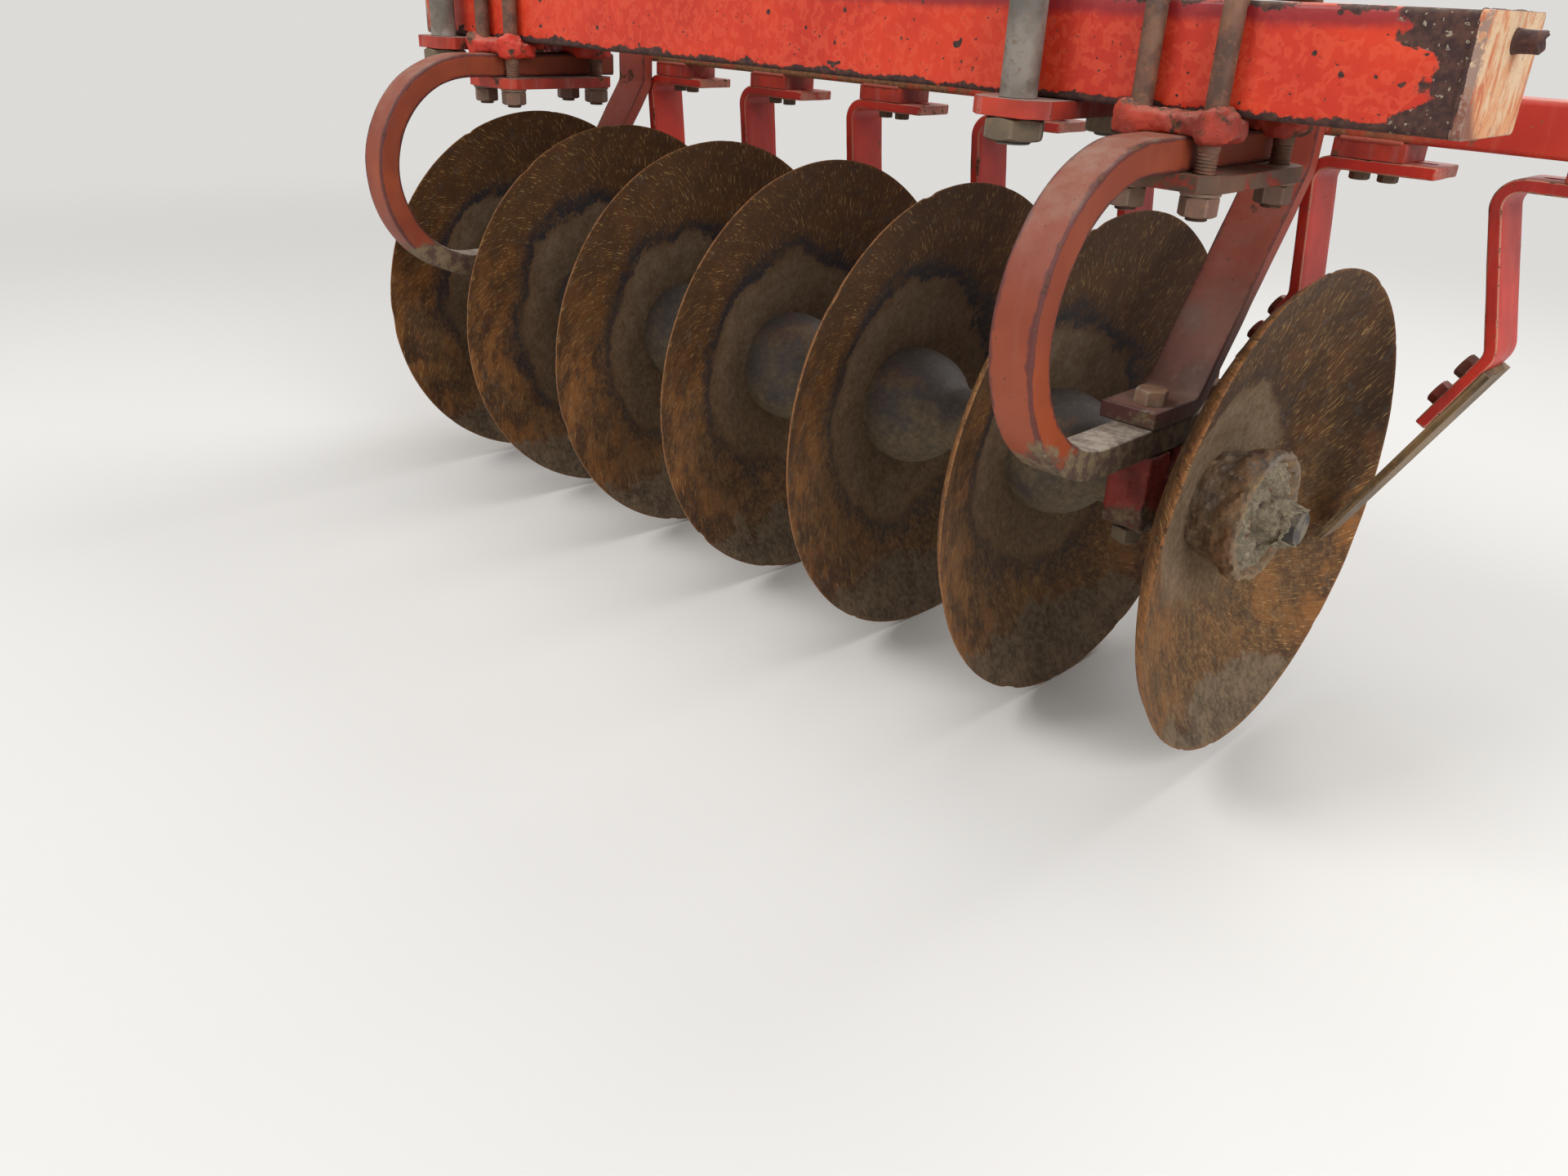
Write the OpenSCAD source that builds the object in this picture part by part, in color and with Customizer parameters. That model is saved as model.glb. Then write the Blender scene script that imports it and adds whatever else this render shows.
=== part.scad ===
// Disc harrow gang: seven dished discs on a square axle, carried by two C springs under a beam.
// Millimetres. X runs out along the axle, Y to the rear, Z up.
// The origin is the middle of the frame studs, on the top face of the beam.

/* [Discs] */
// Distance between neighbouring discs along the axle
disc_pitch = 240; // [225:1:262]
// Radius of the six large discs
disc_r = 305; // [285:1:318]
// Radius of the smaller outer disc
end_disc_r = 281; // [250:1:305]
// Depth of the dish, from its rim plane to the flat at the hub
disc_depth = 82; // [64:1:94]
// Plate thickness of the discs
disc_t = 6.5; // [5:0.5:9]
// Flat of a disc left round the bell of a spool
hub_land = 0.8; // [0.3:0.1:4]
// Width of the ground edge on the back of the rim
edge_w = 14; // [8:1:22]
// Plate left standing at the ground edge
edge_land = 2.2; // [1.2:0.2:3.4]

/* [Axle and spools] */
// Side of the square axle
axle_side = 38; // [32:1:42]
// Round threaded end of the axle
axle_end_r = 19; // [14:1:20]
// How far the threaded end stands past the rim plane of the outer disc
axle_end_out = 25; // [10:1:50]
// Radius of the bell at the dish end of a spool
bell_r = 80; // [72:1:90]
// Height of the centre of the bell above the disc
bell_rise = 26; // [15:1:34]
// Radius of the neck of a spool
neck_r = 43; // [38:1:50]
// Radius of the fillet between bell and neck
neck_fillet_r = 30; // [15:1:40]
// Radius of the foot of a spool, on the back of a disc
foot_r = 62; // [52:1:70]
// Length of the flare that leads to the foot
flare_len = 70; // [40:1:90]
// Thickness of the foot's edge
foot_edge = 14; // [8:1:20]
// Slack round the axle's corners inside spools
bore_slack = 0.7; // [0.4:0.1:1.5]
// Slack between the axle and the square holes
square_slack = 0.3; // [0.2:0.05:0.5]

/* [Axle ends] */
// Radius of the end washer's rim
end_washer_r = 78; // [68:1:90]
// Radius of the end washer where it meets the disc
end_washer_foot_r = 60; // [50:1:68]
// Height of the end washer
end_washer_h = 68; // [50:1:72]
// Height of the straight band at the end washer's rim
end_washer_band = 12; // [6:1:20]
// Thickness of the end washer's floor
end_washer_floor = 34; // [20:1:40]
// Wall of the end washer
end_washer_wall = 9; // [6:1:14]
// Radius of the bumper washer at the inner end
bumper_r = 90; // [75:1:105]
// Thickness of the bumper washer
bumper_t = 38; // [25:1:50]
// Radius of the bumper washer's edges
bumper_round = 14; // [6:1:15]
// Width across the flats of the axle's nut
axle_nut_af = 62; // [52:1:70]
// Height of the axle's nut
axle_nut_h = 28; // [20:1:34]
// Side of the axle's square head
axle_head_side = 62; // [50:1:75]
// Height of the axle's square head
axle_head_h = 26; // [18:1:36]

/* [Bearings] */
// Rim plane of a disc to the middle of the bearing beside it
bearing_inset = 143; // [138:1:150]
// Width of a bearing housing along the axle
housing_w = 54; // [44:1:60]
// Radius of the round body of a housing
housing_r = 58; // [54:1:64]
// Axle up to the seat under the spring
seat_rise = 64; // [58:1:68]
// Depth of the post between a housing's body and its seat
post_d = 70; // [50:1:90]
// Radius of the bearing that turns in the housing
bearing_r = 40; // [36:1:46]
// Running clearance of the bearing
bearing_clear = 0.05; // [0.02:0.01:0.1]
// How far the bearing stands out of its housing on each side
bearing_stand = 6; // [5.5:0.5:8]
// Radius of the spool ends that grip the bearing
grip_r = 50; // [46:1:56]
// Length of the ring on the gripping end of a long bearing spool
grip_len = 16; // [10:1:24]
// Length of the straight foot of a short bearing spool
short_foot = 9; // [4:1:12]
// Axle to the bolts of a housing, front and rear
ear_bolt_gap = 76; // [72:1:84]
// Depth of an ear of a housing, front to rear
ear_d = 44; // [36:1:48]
// Height of an ear
ear_h = 94; // [70:1:100]
// Corner radius of an ear's lower edges
ear_round = 12; // [4:1:16]
// Height of the web that joins the ears
web_h = 28; // [20:1:36]
// Radius of the housing bolts
ear_bolt_r = 10; // [8:1:12]
// Width across the flats of the housing bolts' heads and nuts
ear_bolt_af = 33; // [27:1:38]
// Height of the housing bolts' heads and nuts
ear_bolt_head = 17; // [12:1:20]
// Thread that stands past the housing bolts' nuts
ear_bolt_thread = 5; // [2:1:12]

/* [Springs] */
// Width of the spring bar
spring_w = 50; // [42:1:54]
// Thickness of the spring bar
spring_t = 34; // [26:1:38]
// Bend radius of the spring, to the middle of the bar
spring_r = 153; // [145:1:165]
// Middle of the bend in front of the beam's middle
spring_fore = 147; // [135:1:170]
// Tail of the upper arm behind the beam's middle
upper_tail = 132; // [112:1:140]
// Tail of the lower arm behind the axle
lower_tail = 112; // [108:1:120]

/* [Beam] */
// Height of the beam
beam_h = 102; // [90:1:112]
// Depth of the beam, front to rear
beam_d = 140; // [120:1:150]
// Wall of the beam
beam_wall = 9.5; // [6:0.5:12]
// Outer corner radius of the beam
beam_corner = 6; // [3:1:12]
// Outer end of the beam past the outer disc's rim plane
beam_outer = 115; // [60:1:140]
// Inner end of the beam past the middle of the inner frame clamp
beam_inner = 100; // [60:1:160]
// Axle behind the beam's middle
axle_back = 47; // [40:1:56]

/* [Spring hangers] */
// Radius of the bent hanger rods
rod_r = 11; // [9:0.5:13]
// Slack between the rods and what they pass
rod_slack = 0.4; // [0.3:0.1:0.8]
// Gap between a spring and its hanger rods
rod_gap = 4; // [2:0.5:6]
// Length of the cast saddles along the beam
saddle_w = 142; // [134:1:142]
// Thickness of the saddles between beam and spring
saddle_t = 18; // [14:1:26]
// Saddle that reaches under the beam
saddle_under = 28; // [20:1:36]
// Saddle that stands out past the beam's side
saddle_out = 42; // [34:1:46]
// Corner radius of the saddles, seen from above
saddle_round = 24; // [10:1:30]
// Height of a saddle's lip up the side of the beam
saddle_lip = 13; // [6:1:20]
// Radius of the bosses round the rods on a saddle's lip
boss_r = 18; // [15:1:22]
// Height of the bosses above the lip
boss_h = 5; // [2:1:8]
// Depth of the lugs that hold a spring from the sides
saddle_lug = 5; // [3:1:12]
// Gap between a spring and the lugs, and between beam and lip
lug_gap = 0.6; // [0.3:0.1:1]
// Length of the lower hanger plate along the beam
hanger_w = 126; // [118:1:134]
// Thickness of the lower hanger plate
hanger_t = 16; // [12:1:22]
// Material of the hanger plate past the rods' middles
hanger_edge = 25; // [20:1:30]
// Corner cut of the hanger plate
hanger_cut = 16; // [6:1:20]
// Radius of the washers under the rod nuts
rod_washer_r = 20; // [17:1:22]
// Thickness of the washers under the rod nuts
rod_washer_t = 4; // [2:0.5:6]
// Width across the flats of the rod nuts
rod_nut_af = 34; // [30:1:38]
// Height of the rod nuts
rod_nut_h = 20; // [14:1:26]
// Thread that stands past the rod nuts
rod_thread = 4; // [2:1:20]

/* [Frame clamps] */
// Gap between the outer saddles and the outer clamp plate
clamp_gap_outer = 56; // [30:1:80]
// Gap between the inner saddles and the inner clamp plate
clamp_gap_inner = 12; // [6:1:30]
// Radius of the frame studs
stud_r = 20; // [16:1:22]
// Depth that the thread stands below the stud's surface
stud_thread_cut = 1; // [0.5:0.1:1.5]
// Length of thread above a clamp plate
stud_thread_up = 20; // [10:1:40]
// Gap between the beam and the frame studs
stud_slack = 8; // [3:0.5:12]
// Height of the studs above the beam
stud_up = 140; // [100:1:200]
// Length of a clamp plate along the beam
strap_w = 100; // [80:1:110]
// Thickness of a clamp plate
strap_t = 18; // [14:1:24]
// Material of a clamp plate past its studs' middles
strap_edge = 30; // [26:1:40]
// Corner cut of a clamp plate
strap_cut = 20; // [8:1:24]
// Width across the flats of the stud nuts
stud_nut_af = 60; // [50:1:66]
// Height of the stud nuts
stud_nut_h = 24; // [20:1:32]
// Thread that stands past the stud nuts
stud_thread = 4; // [2:1:20]

/* [Scraper bar] */
// Side of the square scraper bar
bar_side = 55; // [45:1:60]
// Wall of the scraper bar
bar_wall = 6; // [4:0.5:8]
// Scraper bar behind the axle
bar_back = 195; // [190:1:205]
// Top of the beam down to the middle of the scraper bar
bar_drop = 105; // [95:1:112]
// Scraper bar past the outer clamp block
bar_outer = 16; // [5:1:60]
// Scraper bar past the middle of the inner arm
bar_inner = 50; // [40:1:90]
// Width of the arms that carry the scraper bar
arm_w = 70; // [60:1:80]
// Thickness of the arms
arm_t = 20; // [14:1:22]
// Arms set from the middle of the springs, toward the inner end
arm_shift = 8; // [0:1:12]
// Front end of an arm's foot in front of the axle
arm_toe = 108; // [100:1:116]
// Bend of an arm in front of the axle
arm_heel = 10; // [0:1:16]
// Bend radius of an arm
arm_bend_r = 26; // [22:1:34]
// Height of an arm's upright end
arm_upright = 90; // [70:1:100]

/* [Scrapers] */
// Width of a scraper shank, front to rear
shank_w = 70; // [56:1:76]
// Thickness of a shank
shank_t = 14; // [10:1:18]
// Gap between the arms and the shanks behind them
shank_gap = 0.5; // [0.3:0.1:4]
// Bend radius of a shank
shank_bend_r = 22; // [18:1:30]
// Rim plane of a disc out to its shank's kink
shank_out = 129; // [120:1:134]
// The same at the outer disc
end_shank_out = 116; // [104:1:124]
// Kink of a shank below the top of its disc
kink_drop = 93; // [80:1:110]
// Lean of the shanks toward the inner end, degrees
shank_lean = 6; // [0:1:10]
// Lean of the outer shank, degrees
end_shank_lean = 14; // [8:1:18]
// Angle of the lower run from the upright, degrees
kink_angle = 29; // [26:1:32]
// Length of the lower run
lower_run = 104; // [90:1:150]
// Length of the upper run from its bend
upper_run = 138; // [120:1:160]
// Bend of a shank to the start of its slot
slot_start = 34; // [28:1:40]
// Shank left past the end of its slot
slot_end = 10; // [6:1:16]
// Rim plane of a disc out to the middle of its clamp block
block_out = 175; // [172:1:180]
// Length of the clamp blocks along the bar
block_w = 80; // [70:1:90]
// Depth of the clamp blocks, front to rear
block_d = 65; // [58:1:74]
// Thickness of the clamp blocks
block_t = 20; // [14:1:26]
// Distance between the two bolts of a clamp block
bolt_span = 32; // [28:1:36]
// Radius of the scraper bolts
bolt_r = 6; // [5:0.5:7]
// Width across the flats of the scraper bolts' heads
bolt_af = 20; // [17:1:22]
// Height of the scraper bolts' heads
bolt_head = 8; // [6:1:11]
// Radius of the washers under the scraper bolts' heads
bolt_washer_r = 13; // [11:1:13]
// Thickness of the washers under the scraper bolts' heads
bolt_washer_t = 3; // [2:0.5:4]
// Clearance of the scraper bolts in their slot
bolt_fit = 1; // [0.5:0.1:2]
// End of the scraper bolts below the scraper bar
bolt_short = 2; // [1:0.5:5]
// Thickness of a scraper blade
blade_t = 9; // [6:1:11]
// Width of a scraper blade at its top
blade_w = 70; // [56:1:76]
// Width of a scraper blade at its tip
blade_tip_w = 62; // [50:1:74]
// Kink of a shank down to the top of its blade
blade_start = 16; // [12:1:30]
// Length of a scraper blade
blade_len = 277; // [240:1:290]
// Gap between a blade's edge and its dish
blade_gap = 7; // [6:0.5:12]

/* [Hidden] */
$fn = 64;

// Paints and metals
paint = "#c8301c";
faded_paint = "#a84a38";
cast_paint = "#b8281a";
shank_paint = "#b83020";
dark_paint = "#98281c";
arm_paint = "#8c4438";
rusty_rod = "#5a4a42";
rusty_bolt = "#6a4a34";
rusty_disc = "#74431e";
cast_iron = "#3c3632";
bare_steel = "#7c746a";
axle_steel = "#4a4440";
bearing_steel = "#6c6c6c";

// Number of discs, and the discs that have a bearing on their inner side
disc_count = 7;
outer_bearing = 1;
inner_bearing = 6;
// Facets a turn on the large balls that shape the dishes
dish_fn = 200;
// Straight steps in each bend of a flat bar
bend_steps = 8;
// How far a cutting shape runs past what it cuts
over = 2;
// Longer than anything that a tall cutting shape passes
tall = 900;

// The two clamps lie at equal distances from the origin, which sets where the outer disc comes
bearing_span = (inner_bearing - outer_bearing) * disc_pitch;
clamp_reach = (saddle_w + strap_w) / 2;
clamp_x = (bearing_span + clamp_gap_inner - clamp_gap_outer) / 2;
outer_reach = clamp_x + clamp_reach + clamp_gap_outer + bearing_inset;

bell_foot_r = sqrt(pow(bell_r, 2) - pow(bell_rise, 2));
hub_flat_r = bell_foot_r + hub_land;
rod_offset = spring_w / 2 + rod_gap + rod_r;
rod_y = beam_d / 2 + rod_slack + rod_r;
rod_bend_r = beam_corner + rod_slack + rod_r;
stud_y = beam_d / 2 + stud_slack + stud_r;
saddle_z = -beam_h - saddle_t;
upper_arm_z = saddle_z - spring_t / 2;
lower_arm_z = upper_arm_z - 2 * spring_r;
seat_z = lower_arm_z - spring_t / 2;
axle_z = seat_z - seat_rise;
spring_top_z = lower_arm_z + spring_t / 2;
hanger_z = upper_arm_z - spring_t / 2 - hanger_t;
strap_z = -beam_h - strap_t;
bearing_half = housing_w / 2 + bearing_stand;
bore_r = axle_side * sqrt(0.5) + bore_slack;
hole_side = axle_side + 2 * square_slack;
beam_out_x = outer_reach + beam_outer;
beam_in_x = -clamp_x - beam_inner;
bar_y = axle_back + bar_back;
bar_front_y = bar_y - bar_side / 2;
bar_top_z = -bar_drop + bar_side / 2;
block_z = -bar_drop - bar_side / 2 - block_t;
block_y = bar_front_y + block_d / 2;
shank_z = block_z - shank_t / 2;
shank_y = bar_front_y + shank_gap + shank_w / 2;
arm_back_y = bar_front_y - arm_t / 2;
arm_z = spring_top_z + arm_t / 2;

// Places along the axle, and the pose of a piece that turns with it

function disc_x(k) = outer_reach - (k - 1) * disc_pitch;
function radius(k) = k == 1 ? end_disc_r : disc_r;
function flat_x(k) = disc_x(k) - disc_depth;
function back_x(k) = flat_x(k) - disc_t;
function bearing_x(k) = disc_x(k) - bearing_inset;

module on_axle(x) {
    translate([x, axle_back, axle_z]) rotate([0, 90, 0]) children();
}

// Outline of a flat bar of thickness t that follows the corner points p with bend radius r

function heading(a, b) = atan2(b[1] - a[1], b[0] - a[0]);
function turn(p, i) = heading(p[i], p[i + 1]) - heading(p[i - 1], p[i]);
function unit(a) = [cos(a), sin(a)];
function bend_centre(p, i, r) =
    let (a = heading(p[i - 1], p[i]), d = turn(p, i))
    p[i] - r * tan(abs(d) / 2) * unit(a) + r * unit(a + sign(d) * 90);
function bend_side(p, i, r, off) =
    let (a = heading(p[i - 1], p[i]), d = turn(p, i), c = bend_centre(p, i, r), s = sign(d))
    [for (j = [0 : bend_steps]) c + (r - s * off) * unit(a - s * 90 + d * j / bend_steps)];
function end_side(p, i, a, off) = [p[i] + off * unit(a + 90)];
function bar_side_points(p, r, off) = concat(
    end_side(p, 0, heading(p[0], p[1]), off),
    [for (i = [1 : len(p) - 2]) each bend_side(p, i, r, off)],
    end_side(p, len(p) - 1, heading(p[len(p) - 2], p[len(p) - 1]), off));

module bent_bar(p, t, r) {
    right = bar_side_points(p, r, -t / 2);
    left = bar_side_points(p, r, t / 2);
    polygon(concat(right, [for (i = [len(left) - 1 : -1 : 0]) left[i]]));
}

// A shape drawn in the Y and Z plane, given the width w about x
module across(x, w) {
    translate([x, 0, 0]) rotate([90, 0, 90]) linear_extrude(w, center = true) children();
}

module rounded(w, h, r) {
    square([w - 2 * r, h], center = true);
    square([w, h - 2 * r], center = true);
    for (x = [-1, 1], y = [-1, 1]) translate([x * (w / 2 - r), y * (h / 2 - r)]) circle(r);
}

// A plate with its corners cut by c
module cut_plate(w, h, c) {
    a = w / 2;
    b = h / 2;
    polygon([[-a + c, -b], [a - c, -b], [a, -b + c], [a, b - c], [a - c, b], [-a + c, b],
        [-a, b - c], [-a, -b + c]]);
}

module hex(af, h) {
    cylinder(r = af / sqrt(3), h = h, $fn = 6);
}

// Dished disc k: the ball of the dish passes through the flat's edge and the rim

function ball_rise(r) = (pow(disc_depth, 2) + pow(r, 2) - pow(hub_flat_r, 2)) / (2 * disc_depth);
function ball_r(r) = norm([ball_rise(r), hub_flat_r]);
function back_rise(r, at) = ball_rise(r) - sqrt(pow(ball_r(r) + disc_t, 2) - pow(at, 2));

module edge_blank(r) {
    rim_z = disc_depth - edge_land;
    foot_z = back_rise(r, r - edge_w);
    slope = edge_w / (rim_z - foot_z);
    rotate_extrude() polygon([[0, -disc_t], [r - slope * (rim_z + disc_t), -disc_t], [r, rim_z],
        [r, disc_depth + over], [0, disc_depth + over]]);
}

module disc(k) {
    r = radius(k);
    color(rusty_disc) on_axle(flat_x(k)) difference() {
        intersection() {
            translate([0, 0, ball_rise(r)]) sphere(ball_r(r) + disc_t, $fn = dish_fn);
            edge_blank(r);
        }
        intersection() {
            translate([0, 0, ball_rise(r)]) sphere(ball_r(r), $fn = dish_fn);
            cylinder(r = r + over, h = disc_depth + 2 * over);
        }
        cube([hole_side, hole_side, 4 * disc_t], center = true);
    }
}

// Spools: a bell on the dish side, a filleted neck and a flared foot on the next disc's back

fillet_x = neck_r + neck_fillet_r;
fillet_z = bell_rise + sqrt(pow(bell_r + neck_fillet_r, 2) - pow(fillet_x, 2));
touch = bell_r / (bell_r + neck_fillet_r);
touch_x = touch * fillet_x;
touch_z = bell_rise + touch * (fillet_z - bell_rise);

module bell_profile() {
    intersection() {
        translate([0, bell_rise]) circle(bell_r);
        square([bell_r + over, touch_z]);
    }
    difference() {
        polygon([[0, bell_rise], [touch_x, bell_rise], [touch_x, touch_z], [fillet_x, fillet_z],
            [0, fillet_z]]);
        translate([fillet_x, fillet_z]) circle(neck_fillet_r);
    }
}

module turned_with_bore(length) {
    difference() {
        rotate_extrude() children();
        translate([0, 0, -over]) cylinder(r = bore_r, h = length + 2 * over);
    }
}

module spool(k) {
    length = back_x(k) - flat_x(k + 1);
    color(cast_iron) on_axle(flat_x(k + 1)) turned_with_bore(length) {
        bell_profile();
        square([neck_r, length]);
        polygon([[0, length - flare_len], [neck_r, length - flare_len], [foot_r, length - foot_edge],
            [foot_r, length], [0, length]]);
    }
}

module bearing_spools(k) {
    long = bearing_x(k) - bearing_half - flat_x(k + 1);
    short = back_x(k) - bearing_x(k) - bearing_half;
    color(cast_iron) {
        on_axle(flat_x(k + 1)) turned_with_bore(long) {
            bell_profile();
            square([neck_r, long]);
            translate([0, long - grip_len]) square([grip_r, grip_len]);
        }
        on_axle(bearing_x(k) + bearing_half) turned_with_bore(short)
            polygon([[0, 0], [grip_r, 0], [foot_r, short - short_foot], [foot_r, short], [0, short]]);
    }
}

module bearing(k) {
    color(bearing_steel) on_axle(bearing_x(k)) difference() {
        cylinder(r = bearing_r, h = 2 * bearing_half, center = true);
        cube([hole_side, hole_side, 3 * bearing_half], center = true);
    }
}

// Axle and what closes its ends

module axle() {
    seat_x = flat_x(1) + end_washer_floor;
    square_x = seat_x - over;
    tail_x = back_x(disc_count) - bumper_t;
    color(axle_steel) {
        on_axle(tail_x) translate([0, 0, (square_x - tail_x) / 2])
            cube([axle_side, axle_side, square_x - tail_x], center = true);
        on_axle(square_x - over)
            cylinder(r = axle_end_r, h = disc_x(1) + axle_end_out - square_x + over);
        on_axle(tail_x - axle_head_h) translate([0, 0, axle_head_h / 2])
            cube([axle_head_side, axle_head_side, axle_head_h], center = true);
    }
}

module axle_nut() {
    color(axle_steel) on_axle(flat_x(1) + end_washer_floor) difference() {
        hex(axle_nut_af, axle_nut_h);
        translate([0, 0, -over]) cylinder(r = axle_end_r + square_slack, h = axle_nut_h + 2 * over);
    }
}

module end_washer() {
    inside_r = end_washer_r - end_washer_wall;
    color(cast_iron) on_axle(flat_x(1)) difference() {
        rotate_extrude() polygon([[0, 0], [end_washer_foot_r, 0],
            [end_washer_r, end_washer_h - end_washer_band], [end_washer_r, end_washer_h],
            [inside_r, end_washer_h], [end_washer_foot_r - end_washer_wall, end_washer_floor],
            [0, end_washer_floor]]);
        translate([0, 0, -over]) cylinder(r = bore_r, h = end_washer_floor + 2 * over);
    }
}

module bumper_washer() {
    color(dark_paint) on_axle(back_x(disc_count) - bumper_t) turned_with_bore(bumper_t) {
        translate([0, bumper_round]) square([bumper_r, bumper_t - 2 * bumper_round]);
        square([bumper_r - bumper_round, bumper_t]);
        intersection() {
            for (z = [bumper_round, bumper_t - bumper_round])
                translate([bumper_r - bumper_round, z]) circle(bumper_round);
            square([bumper_r + over, bumper_t]);
        }
    }
}

// Bearing housings with an ear in front and behind

module housing_ear() {
    difference() {
        square([ear_d, ear_h], center = true);
        for (s = [-1, 1])
            translate([s * ear_d / 2, -ear_h / 2]) difference() {
                square(2 * ear_round, center = true);
                translate([-s * ear_round, ear_round]) circle(ear_round);
            }
    }
}

module bearing_housing(k) {
    x = bearing_x(k);
    color(dark_paint) difference() {
        union() {
            on_axle(x) cylinder(r = housing_r, h = housing_w, center = true);
            across(x, housing_w) translate([axle_back, axle_z]) {
                translate([0, seat_rise / 2]) square([post_d, seat_rise], center = true);
                for (s = [-1, 1])
                    translate([s * ear_bolt_gap, seat_rise - ear_h / 2]) housing_ear();
                translate([0, seat_rise - ear_h + ear_round + web_h / 2])
                    square([2 * ear_bolt_gap, web_h], center = true);
            }
        }
        on_axle(x) cylinder(r = bearing_r + bearing_clear, h = housing_w + 2 * over, center = true);
        for (s = [-1, 1]) ear_bolt_hole(k, s, seat_z - ear_h, seat_z);
    }
}

module ear_bolt_hole(k, side, low, high) {
    translate([bearing_x(k), axle_back + side * ear_bolt_gap, low - over])
        cylinder(r = ear_bolt_r + rod_slack, h = high - low + 2 * over);
}

module housing_bolt(k, side, top) {
    foot = seat_z - ear_h;
    low = foot - ear_bolt_head;
    translate([bearing_x(k), axle_back + side * ear_bolt_gap, 0]) {
        translate([0, 0, low - ear_bolt_thread])
            cylinder(r = ear_bolt_r, h = top - low + ear_bolt_thread + over);
        translate([0, 0, low]) hex(ear_bolt_af, ear_bolt_head);
        translate([0, 0, top]) hex(ear_bolt_af, ear_bolt_head);
    }
}

module housing_bolts(k) {
    color(rusty_bolt) {
        housing_bolt(k, -1, spring_top_z + arm_t);
        housing_bolt(k, 1, spring_top_z);
    }
}

// Springs and the arms that stand on them

module spring_outline() {
    outer = spring_r + spring_t / 2;
    middle_z = (upper_arm_z + lower_arm_z) / 2;
    difference() {
        translate([-spring_fore, middle_z]) circle(outer);
        translate([-spring_fore, middle_z]) circle(outer - spring_t);
        translate([-spring_fore, middle_z - outer - over]) square(2 * (outer + over));
    }
    translate([-spring_fore, upper_arm_z - spring_t / 2]) square([spring_fore + upper_tail, spring_t]);
    translate([-spring_fore, lower_arm_z - spring_t / 2])
        square([spring_fore + axle_back + lower_tail, spring_t]);
}

module spring(k) {
    color(faded_paint) difference() {
        across(bearing_x(k), spring_w) spring_outline();
        for (s = [-1, 1]) ear_bolt_hole(k, s, seat_z, spring_top_z);
    }
}

function arm_x(k) = bearing_x(k) - arm_shift;

module scraper_arm(k) {
    route = [[axle_back - arm_toe, arm_z], [axle_back - arm_heel, arm_z],
        [arm_back_y, bar_top_z - arm_upright], [arm_back_y, bar_top_z]];
    color(arm_paint) difference() {
        across(arm_x(k), arm_w) bent_bar(route, arm_t, arm_bend_r);
        ear_bolt_hole(k, -1, spring_top_z, spring_top_z + arm_t);
    }
}

// Hangers that tie a spring to the beam

module rod_holes(k) {
    for (x = [-1, 1], y = [-1, 1])
        translate([bearing_x(k) + x * rod_offset, y * rod_y, 0])
            cylinder(r = rod_r + rod_slack, h = tall, center = true);
}

// Outline of a saddle seen from above, with the beam's side at y = 0
module saddle_outline() {
    translate([0, (saddle_out - saddle_under) / 2])
        rounded(saddle_w, saddle_out + saddle_under, saddle_round);
}

module saddle() {
    linear_extrude(saddle_t) saddle_outline();
    linear_extrude(saddle_t + saddle_lip) intersection() {
        saddle_outline();
        translate([-saddle_w / 2, lug_gap]) square([saddle_w, saddle_out]);
    }
    linear_extrude(saddle_t + saddle_lip + boss_h) intersection() {
        for (x = [-1, 1]) translate([x * rod_offset, rod_y - beam_d / 2]) circle(boss_r);
        translate([-saddle_w / 2, lug_gap]) square([saddle_w, saddle_out]);
    }
    translate([0, 0, -saddle_lug]) linear_extrude(saddle_lug) difference() {
        saddle_outline();
        square([spring_w + 2 * lug_gap, 4 * saddle_out], center = true);
    }
}

module saddles(k) {
    color(cast_paint) difference() {
        for (turned = [0, 180])
            translate([bearing_x(k), 0, saddle_z]) rotate(turned) translate([0, beam_d / 2, 0]) saddle();
        rod_holes(k);
    }
}

module hanger_plate(k) {
    color(cast_paint) difference() {
        translate([bearing_x(k), 0, hanger_z]) linear_extrude(hanger_t)
            cut_plate(hanger_w, 2 * (rod_y + hanger_edge), hanger_cut);
        rod_holes(k);
    }
}

module bent_rod(r, half, bend_r, top, bottom) {
    for (y = [-1, 1]) {
        translate([0, y * half, bottom]) cylinder(r = r, h = top - bend_r - bottom);
        translate([0, y * (half - bend_r), top - bend_r]) rotate([90, 0, y > 0 ? 90 : -90])
            rotate_extrude(angle = 90) translate([bend_r, 0]) circle(r);
    }
    translate([0, 0, top]) rotate([90, 0, 0]) cylinder(r = r, h = 2 * (half - bend_r), center = true);
}

module hanger_rods(k) {
    nut_z = hanger_z - rod_washer_t - rod_nut_h;
    color(rusty_rod) for (x = [-1, 1])
        translate([bearing_x(k) + x * rod_offset, 0, 0]) {
            bent_rod(rod_r, rod_y, rod_bend_r, rod_slack + rod_r, nut_z - rod_thread);
            for (y = [-1, 1])
                translate([0, y * rod_y, nut_z]) {
                    hex(rod_nut_af, rod_nut_h);
                    translate([0, 0, rod_nut_h]) cylinder(r = rod_washer_r, h = rod_washer_t);
                }
        }
}

// Clamps that tie the beam to the frame above

module frame_studs(x) {
    nut_z = strap_z - stud_nut_h;
    thread_top = strap_z + strap_t + stud_thread_up;
    color(rusty_rod) for (y = [-1, 1])
        translate([x, y * stud_y, 0]) {
            translate([0, 0, thread_top]) cylinder(r = stud_r, h = stud_up - thread_top);
            translate([0, 0, nut_z - stud_thread])
                cylinder(r = stud_r - stud_thread_cut, h = thread_top - nut_z + stud_thread);
            translate([0, 0, nut_z]) rotate(30) hex(stud_nut_af, stud_nut_h);
        }
}

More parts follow.
